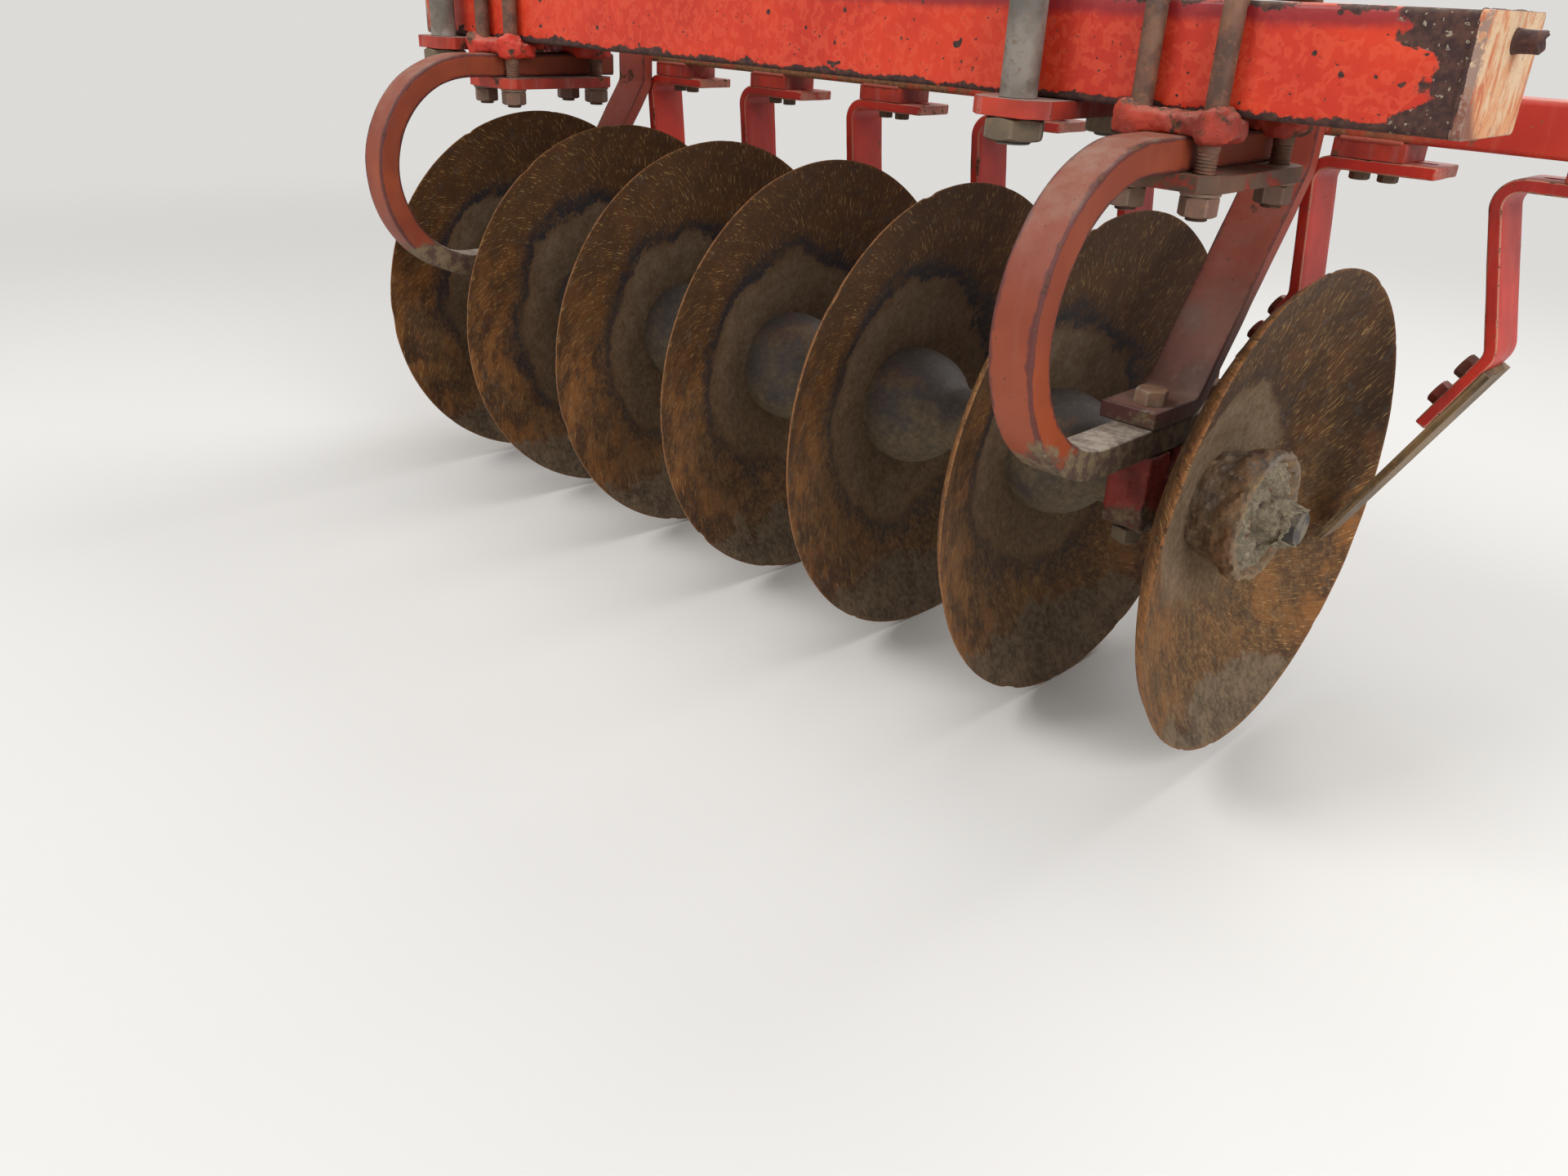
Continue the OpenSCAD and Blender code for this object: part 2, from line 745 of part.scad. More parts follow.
module clamp_plate(x) {
    color(cast_paint) difference() {
        translate([x, 0, strap_z]) linear_extrude(strap_t)
            cut_plate(strap_w, 2 * (stud_y + strap_edge), strap_cut);
        for (y = [-1, 1])
            translate([x, y * stud_y, 0]) cylinder(r = stud_r + rod_slack, h = tall, center = true);
    }
}

// Beam and scraper bar

module gang_beam() {
    length = beam_out_x - beam_in_x - 2 * beam_wall;
    color(paint) across((beam_out_x + beam_in_x) / 2, length) translate([0, -beam_h / 2]) difference() {
        rounded(beam_d, beam_h, beam_corner);
        square([beam_d - 2 * beam_wall, beam_h - 2 * beam_wall], center = true);
    }
}

module beam_caps() {
    color(paint) for (x = [beam_in_x + beam_wall / 2, beam_out_x - beam_wall / 2])
        across(x, beam_wall) translate([0, -beam_h / 2]) rounded(beam_d, beam_h, beam_corner);
}

function block_x(k) = disc_x(k) + block_out;

module scraper_bar() {
    out_x = block_x(1) + block_w / 2 + bar_outer;
    in_x = arm_x(inner_bearing) - bar_inner;
    color(paint) across((out_x + in_x) / 2, out_x - in_x) translate([bar_y, -bar_drop]) difference() {
        rounded(bar_side, bar_side, bar_wall);
        square(bar_side - 2 * bar_wall, center = true);
    }
}

// Scrapers: a shank bolted under its clamp block, and a blade that reaches into the dish

function kink_x(k) = disc_x(k) + (k == 1 ? end_shank_out : shank_out);
function kink_z(k) = axle_z + radius(k) - kink_drop;
function lean(k) = k == 1 ? end_shank_lean : shank_lean;
function bend_x(k) = kink_x(k) - (shank_z - kink_z(k)) * tan(lean(k));

// The slot runs from near the bend to near the end of the run, and takes in both bolts
slot_r = bolt_r + bolt_fit;
function bolt_x(k, side) = block_x(k) + side * bolt_span / 2;
function slot_from(k) = min(bend_x(k) + slot_start, bolt_x(k, -1) - slot_r);
function run_end_x(k) = max(bend_x(k) + upper_run, bolt_x(k, 1) + slot_r + slot_end);

module bolt_spots(k) {
    for (s = [-1, 1]) translate([bolt_x(k, s), shank_y, 0]) children();
}

module scraper_blocks() {
    color(paint) for (k = [1 : disc_count])
        difference() {
            translate([block_x(k), block_y, block_z + block_t / 2])
                cube([block_w, block_d, block_t], center = true);
            bolt_spots(k) translate([0, 0, block_z - over])
                cylinder(r = bolt_r + rod_slack, h = block_t + 2 * over);
        }
}

module scraper_bolts() {
    seat = shank_z - shank_t / 2;
    color(rusty_bolt) for (k = [1 : disc_count])
        bolt_spots(k) {
            translate([0, 0, seat - bolt_washer_t]) {
                cylinder(r = bolt_r, h = bolt_washer_t + shank_t + block_t - bolt_short);
                cylinder(r = bolt_washer_r, h = bolt_washer_t);
            }
            translate([0, 0, seat - bolt_washer_t - bolt_head]) hex(bolt_af, bolt_head);
        }
}

module slot(from, to) {
    translate([(from + to) / 2, shank_y, shank_z - shank_t])
        linear_extrude(2 * shank_t) {
            square([to - from - 2 * slot_r, 2 * slot_r], center = true);
            for (s = [-1, 1]) translate([s * ((to - from) / 2 - slot_r), 0]) circle(slot_r);
        }
}

module scraper_shank(k) {
    kink = [kink_x(k), kink_z(k)];
    foot = kink - lower_run * [sin(kink_angle), cos(kink_angle)];
    color(shank_paint) difference() {
        translate([0, shank_y, 0]) rotate([90, 0, 0]) linear_extrude(shank_w, center = true)
            bent_bar([foot, kink, [bend_x(k), shank_z], [run_end_x(k), shank_z]], shank_t, shank_bend_r);
        slot(slot_from(k), run_end_x(k) - slot_end);
    }
}

module blade_outline() {
    a = blade_w / 2;
    b = blade_tip_w / 2;
    polygon([[-a, 0], [-b, -blade_len], [b, -blade_len], [a, 0]]);
}

module scraper_blades() {
    color(bare_steel) for (k = [1 : disc_count])
        intersection() {
            translate([kink_x(k), shank_y, kink_z(k)]) rotate([0, kink_angle, 0])
                translate([shank_t / 2, 0, -blade_start]) rotate([90, 0, 90])
                    linear_extrude(blade_t) blade_outline();
            on_axle(flat_x(k) + ball_rise(radius(k)))
                sphere(ball_r(radius(k)) - blade_gap, $fn = dish_fn);
        }
}

gang_beam();
beam_caps();
spring(outer_bearing);  // spring_outer
spring(inner_bearing);  // spring_inner
saddles(outer_bearing);  // saddles_outer
saddles(inner_bearing);  // saddles_inner
hanger_rods(outer_bearing);  // hanger_rods_outer
hanger_rods(inner_bearing);  // hanger_rods_inner
hanger_plate(outer_bearing);  // hanger_plate_outer
hanger_plate(inner_bearing);  // hanger_plate_inner
frame_studs(clamp_x);  // frame_studs_outer
frame_studs(-clamp_x);  // frame_studs_inner
clamp_plate(clamp_x);  // clamp_plate_outer
clamp_plate(-clamp_x);  // clamp_plate_inner
bearing_housing(outer_bearing);  // bearing_housing_outer
bearing_housing(inner_bearing);  // bearing_housing_inner
housing_bolts(outer_bearing);  // housing_bolts_outer
housing_bolts(inner_bearing);  // housing_bolts_inner
scraper_arm(outer_bearing);  // scraper_arm_outer
scraper_arm(inner_bearing);  // scraper_arm_inner
scraper_bar();
scraper_blocks();
scraper_bolts();
scraper_shank(1);  // scraper_shank_1
scraper_shank(2);  // scraper_shank_2
scraper_shank(3);  // scraper_shank_3
scraper_shank(4);  // scraper_shank_4
scraper_shank(5);  // scraper_shank_5
scraper_shank(6);  // scraper_shank_6
scraper_shank(7);  // scraper_shank_7
scraper_blades();
axle();
axle_nut();
end_washer();
bumper_washer();
disc(1);  // disc_1
disc(2);  // disc_2
disc(3);  // disc_3
disc(4);  // disc_4
disc(5);  // disc_5
disc(6);  // disc_6
disc(7);  // disc_7
spool(2);  // spool_2
spool(3);  // spool_3
spool(4);  // spool_4
spool(5);  // spool_5
bearing_spools(outer_bearing);  // bearing_spools_outer
bearing_spools(inner_bearing);  // bearing_spools_inner
bearing(outer_bearing);  // bearing_outer
bearing(inner_bearing);  // bearing_inner
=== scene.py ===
import math
import bmesh
import bpy
import numpy as np
from mathutils import Matrix, Vector


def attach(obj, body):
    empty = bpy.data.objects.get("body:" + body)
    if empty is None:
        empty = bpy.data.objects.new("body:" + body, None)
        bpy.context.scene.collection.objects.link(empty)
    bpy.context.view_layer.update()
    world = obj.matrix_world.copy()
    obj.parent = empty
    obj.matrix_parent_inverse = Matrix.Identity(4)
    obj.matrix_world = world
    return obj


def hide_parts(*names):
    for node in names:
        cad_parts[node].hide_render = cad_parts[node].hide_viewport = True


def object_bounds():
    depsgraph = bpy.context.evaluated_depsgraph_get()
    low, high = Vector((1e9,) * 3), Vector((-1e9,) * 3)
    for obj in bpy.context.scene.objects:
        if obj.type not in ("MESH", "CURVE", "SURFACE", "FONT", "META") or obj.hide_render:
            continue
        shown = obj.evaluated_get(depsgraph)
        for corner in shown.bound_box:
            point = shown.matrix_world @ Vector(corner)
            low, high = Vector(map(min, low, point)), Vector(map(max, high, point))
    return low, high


# Disc harrow gang: rusty dished discs on a square axle under a chipped red beam.
# Everything is in metres: x runs out along the axle, y to the rear, z up.

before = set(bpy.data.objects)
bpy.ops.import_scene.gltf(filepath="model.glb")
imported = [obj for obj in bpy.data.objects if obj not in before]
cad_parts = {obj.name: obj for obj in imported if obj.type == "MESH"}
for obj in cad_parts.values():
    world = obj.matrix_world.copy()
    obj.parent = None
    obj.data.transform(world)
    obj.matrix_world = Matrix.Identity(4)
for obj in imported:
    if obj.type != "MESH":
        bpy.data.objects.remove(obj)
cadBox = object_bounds()
scene = bpy.context.scene
print("frame loaded with", len(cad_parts), "nodes")


# Where things are on the object

axleY = 0.047
axleZ = -0.524
discPitch = 0.240
outerReach = 0.898
bearingX = [outerReach - 0.143, outerReach - 5 * discPitch - 0.143]
sideNames = ["outer", "inner"]


def discX(k):
    # the plane of a disc's rim; disc 1 is the outer one
    return outerReach - (k - 1) * discPitch


# Node helpers

class Field:
    # a value that varies over the surface: plus, minus and times make the nodes they need
    def __init__(self, tree, socket):
        self.tree, self.socket = tree, socket

    def __add__(self, other):
        return calc("ADD", self, other)

    def __sub__(self, other):
        return calc("SUBTRACT", self, other)

    def __rsub__(self, other):
        return calc("SUBTRACT", other, self)

    def __mul__(self, other):
        return calc("MULTIPLY", self, other)


def give(node, key, value):
    # a field is linked; a plain value is written into the input, and a colour gets full alpha
    if isinstance(value, Field):
        value.tree.links.new(value.socket, node.inputs[key])
    else:
        node.inputs[key].default_value = (*value, 1.0) if node.inputs[key].type == "RGBA" else value


def newNode(tree, kind, output, given=None, **settings):
    # a node with its settings and inputs, returned as the field at one of its outputs
    node = tree.nodes.new("ShaderNode" + kind)
    for key, value in settings.items():
        setattr(node, key, value)
    for key, value in (given or {}).items():
        give(node, key, value)
    return Field(tree, node.outputs[output])


def newFinish(name):
    # the material, its tree and the object's own coordinates
    mat = bpy.data.materials.new(name)
    mat.use_nodes = True
    return mat, mat.node_tree, newNode(mat.node_tree, "TexCoord", "Object")


def calc(operation, a, b=0.0, clamp=False):
    tree = (a if isinstance(a, Field) else b).tree
    return newNode(tree, "Math", 0, {0: a, 1: b}, operation=operation, use_clamp=clamp)


def vectorCalc(operation, a, b=(0.0, 0.0, 0.0)):
    output = "Value" if operation in ("DOT_PRODUCT", "LENGTH") else "Vector"
    return newNode(a.tree, "VectorMath", output, {0: a, 1: b}, operation=operation)


def most(first, *others):
    # the largest of them all
    for other in others:
        first = calc("MAXIMUM", first, other)
    return first


def stepped(value, low, high):
    # 0 below low, 1 above high, smooth between
    return newNode(value.tree, "MapRange", "Result", {"Value": value, "From Min": low, "From Max": high},
                   interpolation_type="SMOOTHSTEP")


def noiseAt(place, scale, detail=4.0, rough=0.55, twist=0.0):
    return newNode(place.tree, "TexNoise", "Fac", {"Vector": place, "Scale": scale, "Detail": detail,
                                                   "Roughness": rough, "Distortion": twist})


def streaksAt(place, stretch, detail, rough, twist=0.0):
    # noise with its own scale along x, y and z
    return noiseAt(vectorCalc("MULTIPLY", place, stretch), 1.0, detail, rough, twist)


def mixed(factor, a, b):
    # colour a at factor 0, colour b at factor 1
    return newNode(factor.tree, "Mix", 2, {0: factor, 6: a, 7: b}, data_type="RGBA")


def parted(vector):
    x = newNode(vector.tree, "SeparateXYZ", 0, {0: vector})
    return [Field(x.tree, socket) for socket in x.socket.node.outputs]


def joined(x, y, z):
    return newNode(x.tree, "CombineXYZ", 0, {0: x, 1: y, 2: z})


def trueNormal(tree):
    return newNode(tree, "NewGeometry", "Normal")


def roundedNormal(tree, radius):
    return newNode(tree, "Bevel", "Normal", {"Radius": radius}, samples=4)


def ownEdge(tree):
    # the edge weight that makePiece stores in each new mesh
    return newNode(tree, "Attribute", "Fac", attribute_name="edge")


def edgeMask(soft, gain):
    # how far the rounded normal leans from the true one, or the mesh's own edge weight where that is more
    lean = 1.0 - vectorCalc("DOT_PRODUCT", soft, trueNormal(soft.tree))
    return most(calc("MULTIPLY", lean, gain, True), ownEdge(soft.tree))


def upMask(tree):
    return parted(trueNormal(tree))[2]


def bumped(height, distance, normal):
    return newNode(height.tree, "Bump", "Normal", {"Strength": 1.0, "Distance": distance, "Height": height,
                                                   "Normal": normal})


def finished(mat, s, colour, rough, relief, normal, gleam, metallic=0.0):
    # the fields go to the shader: rough adds to the roughness, and relief 1 raises the surface by the depth
    shader = mat.node_tree.nodes["Principled BSDF"]
    give(shader, "Base Color", colour)
    give(shader, "Roughness", calc("ADD", rough, s["roughness"], True))
    give(shader, "Normal", bumped(relief, s["depth"], normal))
    give(shader, "Specular IOR Level", gleam)
    give(shader, "Metallic", metallic)
    return mat


def aroundAxle(place):
    # distance from the axle, angle about it, the place along it and the height above it
    x, y, z = parted(vectorCalc("SUBTRACT", place, (0.0, axleY, axleZ)))
    return calc("SQRT", y * y + z * z), calc("ARCTAN2", y, z), x, z


def paleRays(tree):
    # 1 for rays from the camera, mirrors and glass, 0 for the rays that light things
    return most(*(newNode(tree, "LightPath", f"Is {kind} Ray") for kind in ("Camera", "Glossy", "Transmission")))


def blended(output, factor, shader, other):
    # the output node shows the shader at factor 0 and the other at factor 1
    blend = newNode(factor.tree, "MixShader", 0, {0: factor, 1: Field(factor.tree, shader.outputs[0]), 2: other})
    give(output, "Surface", blend)


# Camera, floor and lights

camera = {
    "place": (1.3826, -1.2461, -0.0089),
    "azimuth": 44.207,     # degrees the view is turned left of straight back
    "pitch": 26.338,       # degrees it looks down
    "roll": 2.632,
    "lens": 27.767,
    "sensor": 36.0,
}


def makeCamera(s):
    # forward = (-sin a cos p, cos a cos p, -sin p); right and up are turned about it by the roll
    a, p, roll = (math.radians(s[k]) for k in ("azimuth", "pitch", "roll"))
    forward = Vector((-math.sin(a) * math.cos(p), math.cos(a) * math.cos(p), -math.sin(p)))
    level = Vector((math.cos(a), math.sin(a), 0.0))
    above = level.cross(forward)
    right = math.cos(roll) * level + math.sin(roll) * above
    up = -math.sin(roll) * level + math.cos(roll) * above
    data = bpy.data.cameras.new("photoCamera")
    data.lens = s["lens"]
    data.sensor_width = s["sensor"]
    data.sensor_fit = "HORIZONTAL"
    data.clip_start = 0.02
    ob = bpy.data.objects.new("photoCamera", data)
    frameOfView = Matrix((right, up, -forward)).transposed().to_4x4()
    ob.matrix_world = Matrix.Translation(Vector(s["place"])) @ frameOfView
    scene.collection.objects.link(ob)
    scene.camera = ob


floor = {
    "colour": (0.74, 0.73, 0.71),
    "roughness": 0.85,
    "halfSize": 14.0,
    "glow": (0.72, 0.71, 0.69),
    "glowFrom": 1.6,       # metres from the origin where the even glow starts
    "glowTo": 4.5,
}


def makeFloor(s):
    # one flat square at the lowest point of the discs
    z = cadBox[0][2]
    h = s["halfSize"]
    mesh = bpy.data.meshes.new("floor")
    mesh.from_pydata([(-h, -h, z), (h, -h, z), (h, h, z), (-h, h, z)], [], [(0, 1, 2, 3)])
    ob = bpy.data.objects.new("floor", mesh)
    scene.collection.objects.link(ob)
    mat, tree, place = newFinish("floorMatt")
    shader = tree.nodes["Principled BSDF"]
    give(shader, "Base Color", s["colour"])
    give(shader, "Roughness", s["roughness"])
    # far from the object the floor turns into an even pale glow for the camera, without lighting anything
    far = stepped(vectorCalc("LENGTH", place), s["glowFrom"], s["glowTo"])
    glow = newNode(tree, "Emission", 0, {"Color": s["glow"]})
    blended(tree.nodes["Material Output"], far * paleRays(tree), shader, glow)
    mesh.materials.append(mat)


lights = [
    # name, place, aimed at, size, watts
    ("keyLight", (-1.6, -3.4, 3.2), (0.2, 0.0, -0.3), 2.2, 142.0),
    ("rightFill", (4.2, -1.4, 1.6), (0.5, 0.0, -0.4), 2.6, 118.0),
    ("backLight", (0.6, 3.6, 2.8), (0.2, 0.0, -0.3), 2.4, 95.0),
    ("topLight", (0.3, 0.2, 4.4), (0.3, 0.0, 0.0), 2.6, 40.0),
]


def makeLights():
    # square lamps whose -z axis points from the place to the aim
    for name, place, aim, size, watts in lights:
        data = bpy.data.lights.new(name, "AREA")
        data.size = size
        data.energy = watts
        ob = bpy.data.objects.new(name, data)
        towards = (Vector(aim) - Vector(place)).to_track_quat("-Z", "Y")
        ob.matrix_world = Matrix.Translation(Vector(place)) @ towards.to_matrix().to_4x4()
        scene.collection.objects.link(ob)


sky = {"colour": (1.0, 0.98, 0.95), "strength": 0.32}


def makeWorld(s):
    # an even sky lights the object, and the camera sees the floor's glow in its place
    scene.world = bpy.data.worlds.new("studioWorld")
    scene.world.use_nodes = True
    tree = scene.world.node_tree
    back = tree.nodes["Background"]
    give(back, "Color", s["colour"])
    give(back, "Strength", s["strength"])
    pale = newNode(tree, "Background", 0, {"Color": floor["glow"]})
    blended(tree.nodes["World Output"], paleRays(tree), back, pale)


scene.view_settings.view_transform = "Standard"
makeCamera(camera)
makeFloor(floor)
makeLights()
makeWorld(sky)
print("camera, floor and lights are up")


# Finishes

dustColour = (0.42, 0.36, 0.29)
strawColour = (0.42, 0.36, 0.25)
soilTones = (0.08, 0.052, 0.04), (0.2, 0.15, 0.085)
powderTones = (0.17, 0.13, 0.1), (0.46, 0.4, 0.33)


def chippedPaint(name, s):
    # paint that varies over the piece, faded on top, chipped to dark steel and rust at edges and in patches
    s = {**plainPaint, **s}
    mat, tree, place = newFinish(name)
    x, _, z = parted(place)
    soft = roundedNormal(tree, s["round"])
    edge = edgeMask(soft, 6.0)
    up = upMask(tree)
    broad = noiseAt(place, s["broadScale"], 3.0, 0.6)
    middle = noiseAt(place, s["patchScale"], 8.0, 0.62, 0.3)
    fine = noiseAt(place, s["chipScale"], 6.0, 0.7)
    grain = noiseAt(place, 900.0, 3.0, 0.6)
    runs = streaksAt(place, (60.0, 60.0, 7.0), 4.0, 0.6)
    paint = mixed(stepped(broad, 0.35, 0.68), s["paint"], s["paintDark"])
    paint = mixed(stepped(runs, 0.5, 0.75) * s["runs"], paint, s["faded"])
    paint = mixed(stepped(up, 0.45, 0.95) * s["topFade"], paint, s["faded"])
    wear = edge * s["edgeWear"] + fine + (broad - 0.5) * 0.5
    chip = stepped(wear, s["chipLevel"], s["chipLevel"] + 0.035)
    patch = stepped(middle + edge * 0.1, s["patchLevel"], s["patchLevel"] + 0.05)
    rustColour = mixed(stepped(noiseAt(place, 140.0, 6.0, 0.7), 0.35, 0.65), s["rustDark"], s["rust"])
    spot = stepped(noiseAt(place, 210.0, 2.0, 0.5), 0.7, 0.74) * s["spots"]
    bare = most(chip, patch, spot)
    if "upper" in s:
        # the upper part has kept more of its colour
        low, high, upperColour = s["upper"]
        paint = mixed(stepped(z + middle * 0.16, low, high) * 0.7, paint, upperColour)
    if "line" in s:
        # a thin worn line that follows the edges, thicker and thinner
        amount, lineColour, start = s["line"]
        line = stepped(edge + (fine * 1.2 + middle * 0.8), start, start + 0.3)
        paint = mixed(line * amount, paint, lineColour)
    if "bareInward" in s:
        # a stretch of the bar, toward the inner end, that has lost its paint under old dirt
        low, high, amount = s["bareInward"]
        inward = 1.0 - stepped(x + middle * 0.3, low, high)
        bare = most(bare, inward * amount * stepped(middle, 0.34, 0.48))
    colour = mixed(bare, paint, rustColour)
    if "dirt" in s:
        # dirt gathers below a height, and more on what faces up or down than on the sides
        top, full, amount = s["dirt"]
        depth = z * -1.0 + middle * 0.12
        deep = stepped(depth, 0.06 - top, 0.06 - full) * 0.5 + (fine + calc("ABSOLUTE", up) * 0.06) * 0.5
        crust = stepped(deep, 0.56, 0.68) * amount
        soil = mixed(stepped(fine, 0.4, 0.6), *soilTones)
        powder = mixed(stepped(fine, 0.35, 0.62), *powderTones)
        colour = mixed(crust, colour, mixed(stepped(up, 0.4, 0.8), soil, powder))
        bare = most(bare, crust)
    dusty = stepped(up, 0.2, 0.9) * stepped(noiseAt(place, 22.0, 6.0, 0.65), 0.35, 0.75) * s["dust"]
    colour = mixed(dusty, colour, dustColour)
    relief = bare * -0.5 + fine * s["lumpy"] + grain * bare * 0.5
    return finished(mat, s, colour, bare * 0.32 + broad * 0.16 + dusty * 0.3, relief, soft, 0.36)


def rustySteel(name, s):
    # dark oiled steel under brown rust, lighter where it rubs
    s = {**plainSteel, **s}
    mat, tree, place = newFinish(name)
    soft = roundedNormal(tree, s["round"])
    edge = edgeMask(soft, 5.0)
    broad = noiseAt(place, s["broadScale"], 5.0, 0.6)
    fine = noiseAt(place, s["fineScale"], 7.0, 0.7)
    grain = noiseAt(place, 1100.0, 3.0, 0.6)
    colour = mixed(stepped(broad, 0.38, 0.62), s["dark"], s["brown"])
    colour = mixed(stepped(fine, 0.52, 0.7), colour, s["orange"])
    colour = mixed(edge * s["rub"], colour, s["light"])
    muddy = stepped(noiseAt(place, 30.0, 6.0, 0.65), 0.5, 0.62) * s["mud"]
    colour = mixed(muddy, colour, s["mudColour"])
    if "lean" in s:
        # scratches that run down a blade: along = x sin(lean) + z cos(lean), across = x cos(lean) - z sin(lean)
        x, y, z = parted(place)
        lean = math.radians(s["lean"])
        along = x * math.sin(lean) + z * math.cos(lean)
        across = x * math.cos(lean) - z * math.sin(lean)
        worn = noiseAt(joined(across * 150.0, y * 150.0, along * 9.0), 1.0, 6.0, 0.68)
        colour = mixed(stepped(worn, 0.5, 0.62) * 0.55, colour, s["light"])
        colour = mixed((1.0 - stepped(worn, 0.38, 0.48)) * 0.6, colour, s["dark"])
    relief = fine * 0.7 + grain * 0.3 + muddy * 0.8
    return finished(mat, s, colour, fine * 0.3 + muddy * 0.3, relief, soft, 0.4, s["metallic"])


def dishRust(name, s):
    # rusty plate: yellow flecks over brown, a pale mud collar at the hub inside a ragged blue black band,
    # streaks that spiral across the dish, mud low down and a thin worn rim
    mat, tree, place = newFinish(name)
    radius, angle, along, height = aroundAxle(place)
    swirl = angle + radius * s["swirl"]
    sine, cosine = calc("SINE", swirl), calc("COSINE", swirl)

    def spiral(around, outward, detail, rough):
        # noise drawn out along the swirl, with its own scale round the axle and outwards
        return noiseAt(joined(sine * around, cosine * around, radius * outward), 1.0, detail, rough)
    streak = spiral(30.0, 11.0, 7.0, 0.66)
    hair = spiral(120.0, 60.0, 4.0, 0.65)
    dash = spiral(165.0, 85.0, 2.0, 0.5)
    broad = noiseAt(place, 7.0, 4.0, 0.6)
    ragged = noiseAt(place, 15.0, 6.0, 0.65)
    cloud = noiseAt(place, 30.0, 7.0, 0.68)
    fine = noiseAt(place, 130.0, 6.0, 0.72)
    grain = noiseAt(place, 900.0, 3.0, 0.65)
    rust = mixed(stepped(cloud * 0.5 + ragged * 0.5, 0.38, 0.6), s["dark"], s["brown"])
    rust = mixed(stepped(ragged, 0.44, 0.64) * 0.62, rust, s["orange"])
    rust = mixed(stepped(fine, 0.48, 0.66) * 0.42, rust, s["orange"])
    rust = mixed(stepped(streak, 0.46, 0.64) * 0.45, rust, s["dark"])
    # painted shade: darker toward the top, and most so on the outer disc
    outerOne = stepped(along, 0.7, 0.74)
    above = height + (broad - 0.5) * 0.4 + outerOne * 0.05
    old = mixed(outerOne * 0.8, s["old"], s["shadedTopOuter"])
    rust = mixed(stepped(above, -0.05, 0.16) * 0.8, rust, old)
    flecked = stepped(dash, 0.625, 0.675) * stepped(cloud, 0.34, 0.54) * s["flecks"]
    rust = mixed(flecked, rust, s["fleck"])
    rust = mixed(stepped(noiseAt(place, 52.0, 5.0, 0.6), 0.57, 0.66) * 0.3, rust, s["blue"])
    # the band and the collar follow the distance from the axle, made ragged by noise
    reach = radius + (ragged - 0.5) * 0.06 + (broad - 0.5) * 0.11 + outerOne * s["outerLess"] + (fine - 0.5) * 0.05
    band = stepped(reach, 0.16, 0.166) * (1.0 - stepped(reach, 0.171, 0.205)) * (1.0 - outerOne * 0.65)
    rust = mixed(band * stepped(cloud, 0.34, 0.5) * 0.9, rust, s["hubDark"])
    collar = (1.0 - stepped(reach, 0.152, 0.17)) * 0.88
    pale = mixed(stepped(fine * 0.7 + cloud * 0.5, 0.42, 0.8), s["mudDark"], s["collar"])
    colour = mixed(collar, rust, pale)
    # thin mud below the axle, then thick soil where the disc stood in the ground
    lowness = stepped(height * -1.0 + (broad - 0.5) * 0.55, -0.05, 0.13)
    mudFine = stepped(fine + streak * 0.4, 0.5, 0.8) * 0.55 + 0.33
    mud = lowness * (1.0 - stepped(radius, 0.225, 0.295)) * mudFine
    mudColour = mixed(stepped(fine * 0.65 + hair * 0.35, 0.42, 0.62), s["mudDark"], s["mud"])
    colour = mixed(mud * 0.6, colour, mudColour)
    colour = mixed(stepped(hair, 0.655, 0.7) * 0.45, colour, s["fleck"])
    foot = height * -1.0 + (ragged - 0.5) * 0.16 + (fine - 0.5) * 0.05
    stood = stepped(foot, s["soilAt"], s["soilAt"] + 0.012) * 0.88
    soil = mixed(stepped(fine * 0.6 + cloud * 0.4, 0.4, 0.6), s["soilDark"], s["soil"])
    colour = mixed(stood, colour, soil)
    mud = most(mud, stood)
    rim = calc("POWER", ownEdge(tree), 2.5) * stepped(fine + streak, 0.8, 1.1)
    colour = mixed(rim, colour, s["rim"])
    cover = most(mud, collar)
    relief = streak * 0.25 + fine * 0.42 + grain * 0.22 + flecked * 0.15 + cover * (fine + 0.4) * 0.9
    return finished(mat, s, colour, streak * 0.22 + cover * 0.3, relief, trueNormal(tree), 0.2, 0.1)


def castMud(name, s):
    # dark casting skin with dried mud on its lower half and bits of straw
    mat, tree, place = newFinish(name)
    radius, _, along, height = aroundAxle(place)
    broad = noiseAt(place, 16.0, 5.0, 0.6)
    fine = noiseAt(place, 120.0, 7.0, 0.7)
    grain = noiseAt(place, 600.0, 4.0, 0.7)
    fibres = streaksAt(place, (120.0, 95.0, 95.0), 6.0, 0.72, 0.8)
    iron = mixed(stepped(fine, 0.4, 0.7), s["dark"], s["brown"])
    iron = mixed(stepped(broad, 0.55, 0.68) * 0.6, iron, s["rust"])
    low = stepped(height * -9.0 + (broad - 0.5) * 3.2, -0.3 - s["cover"], 0.45 - s["cover"])
    mud = low * s["mudAmount"]
    mudColour = mixed(stepped(fibres * 0.5 + fine * 0.5, 0.36, 0.66), s["mudDark"], s["mud"])
    colour = mixed(mud, iron, mudColour)
    if "ring" in s:
        # bare orange rust in a ragged ring near the rim
        low, high, amount, ringColour = s["ring"]
        at = along + (broad - 0.5) * 0.022
        ring = stepped(at, low, low + 0.005) * (1.0 - stepped(at, high - 0.004, high)) * amount
        ring = ring * stepped(radius, 0.06, 0.066) * stepped(fine, 0.36, 0.56)
        colour = mixed(ring, colour, ringColour)
    straw = stepped(streaksAt(place, (90.0, 420.0, 420.0), 2.0, 0.5, 0.6), 0.69, 0.72)
    colour = mixed(straw * 0.6, colour, strawColour)
    relief = fine * 0.5 + grain * 0.35 + fibres * mud * 0.9
    return finished(mat, s, colour, mud * 0.3, relief, trueNormal(tree), 0.3)


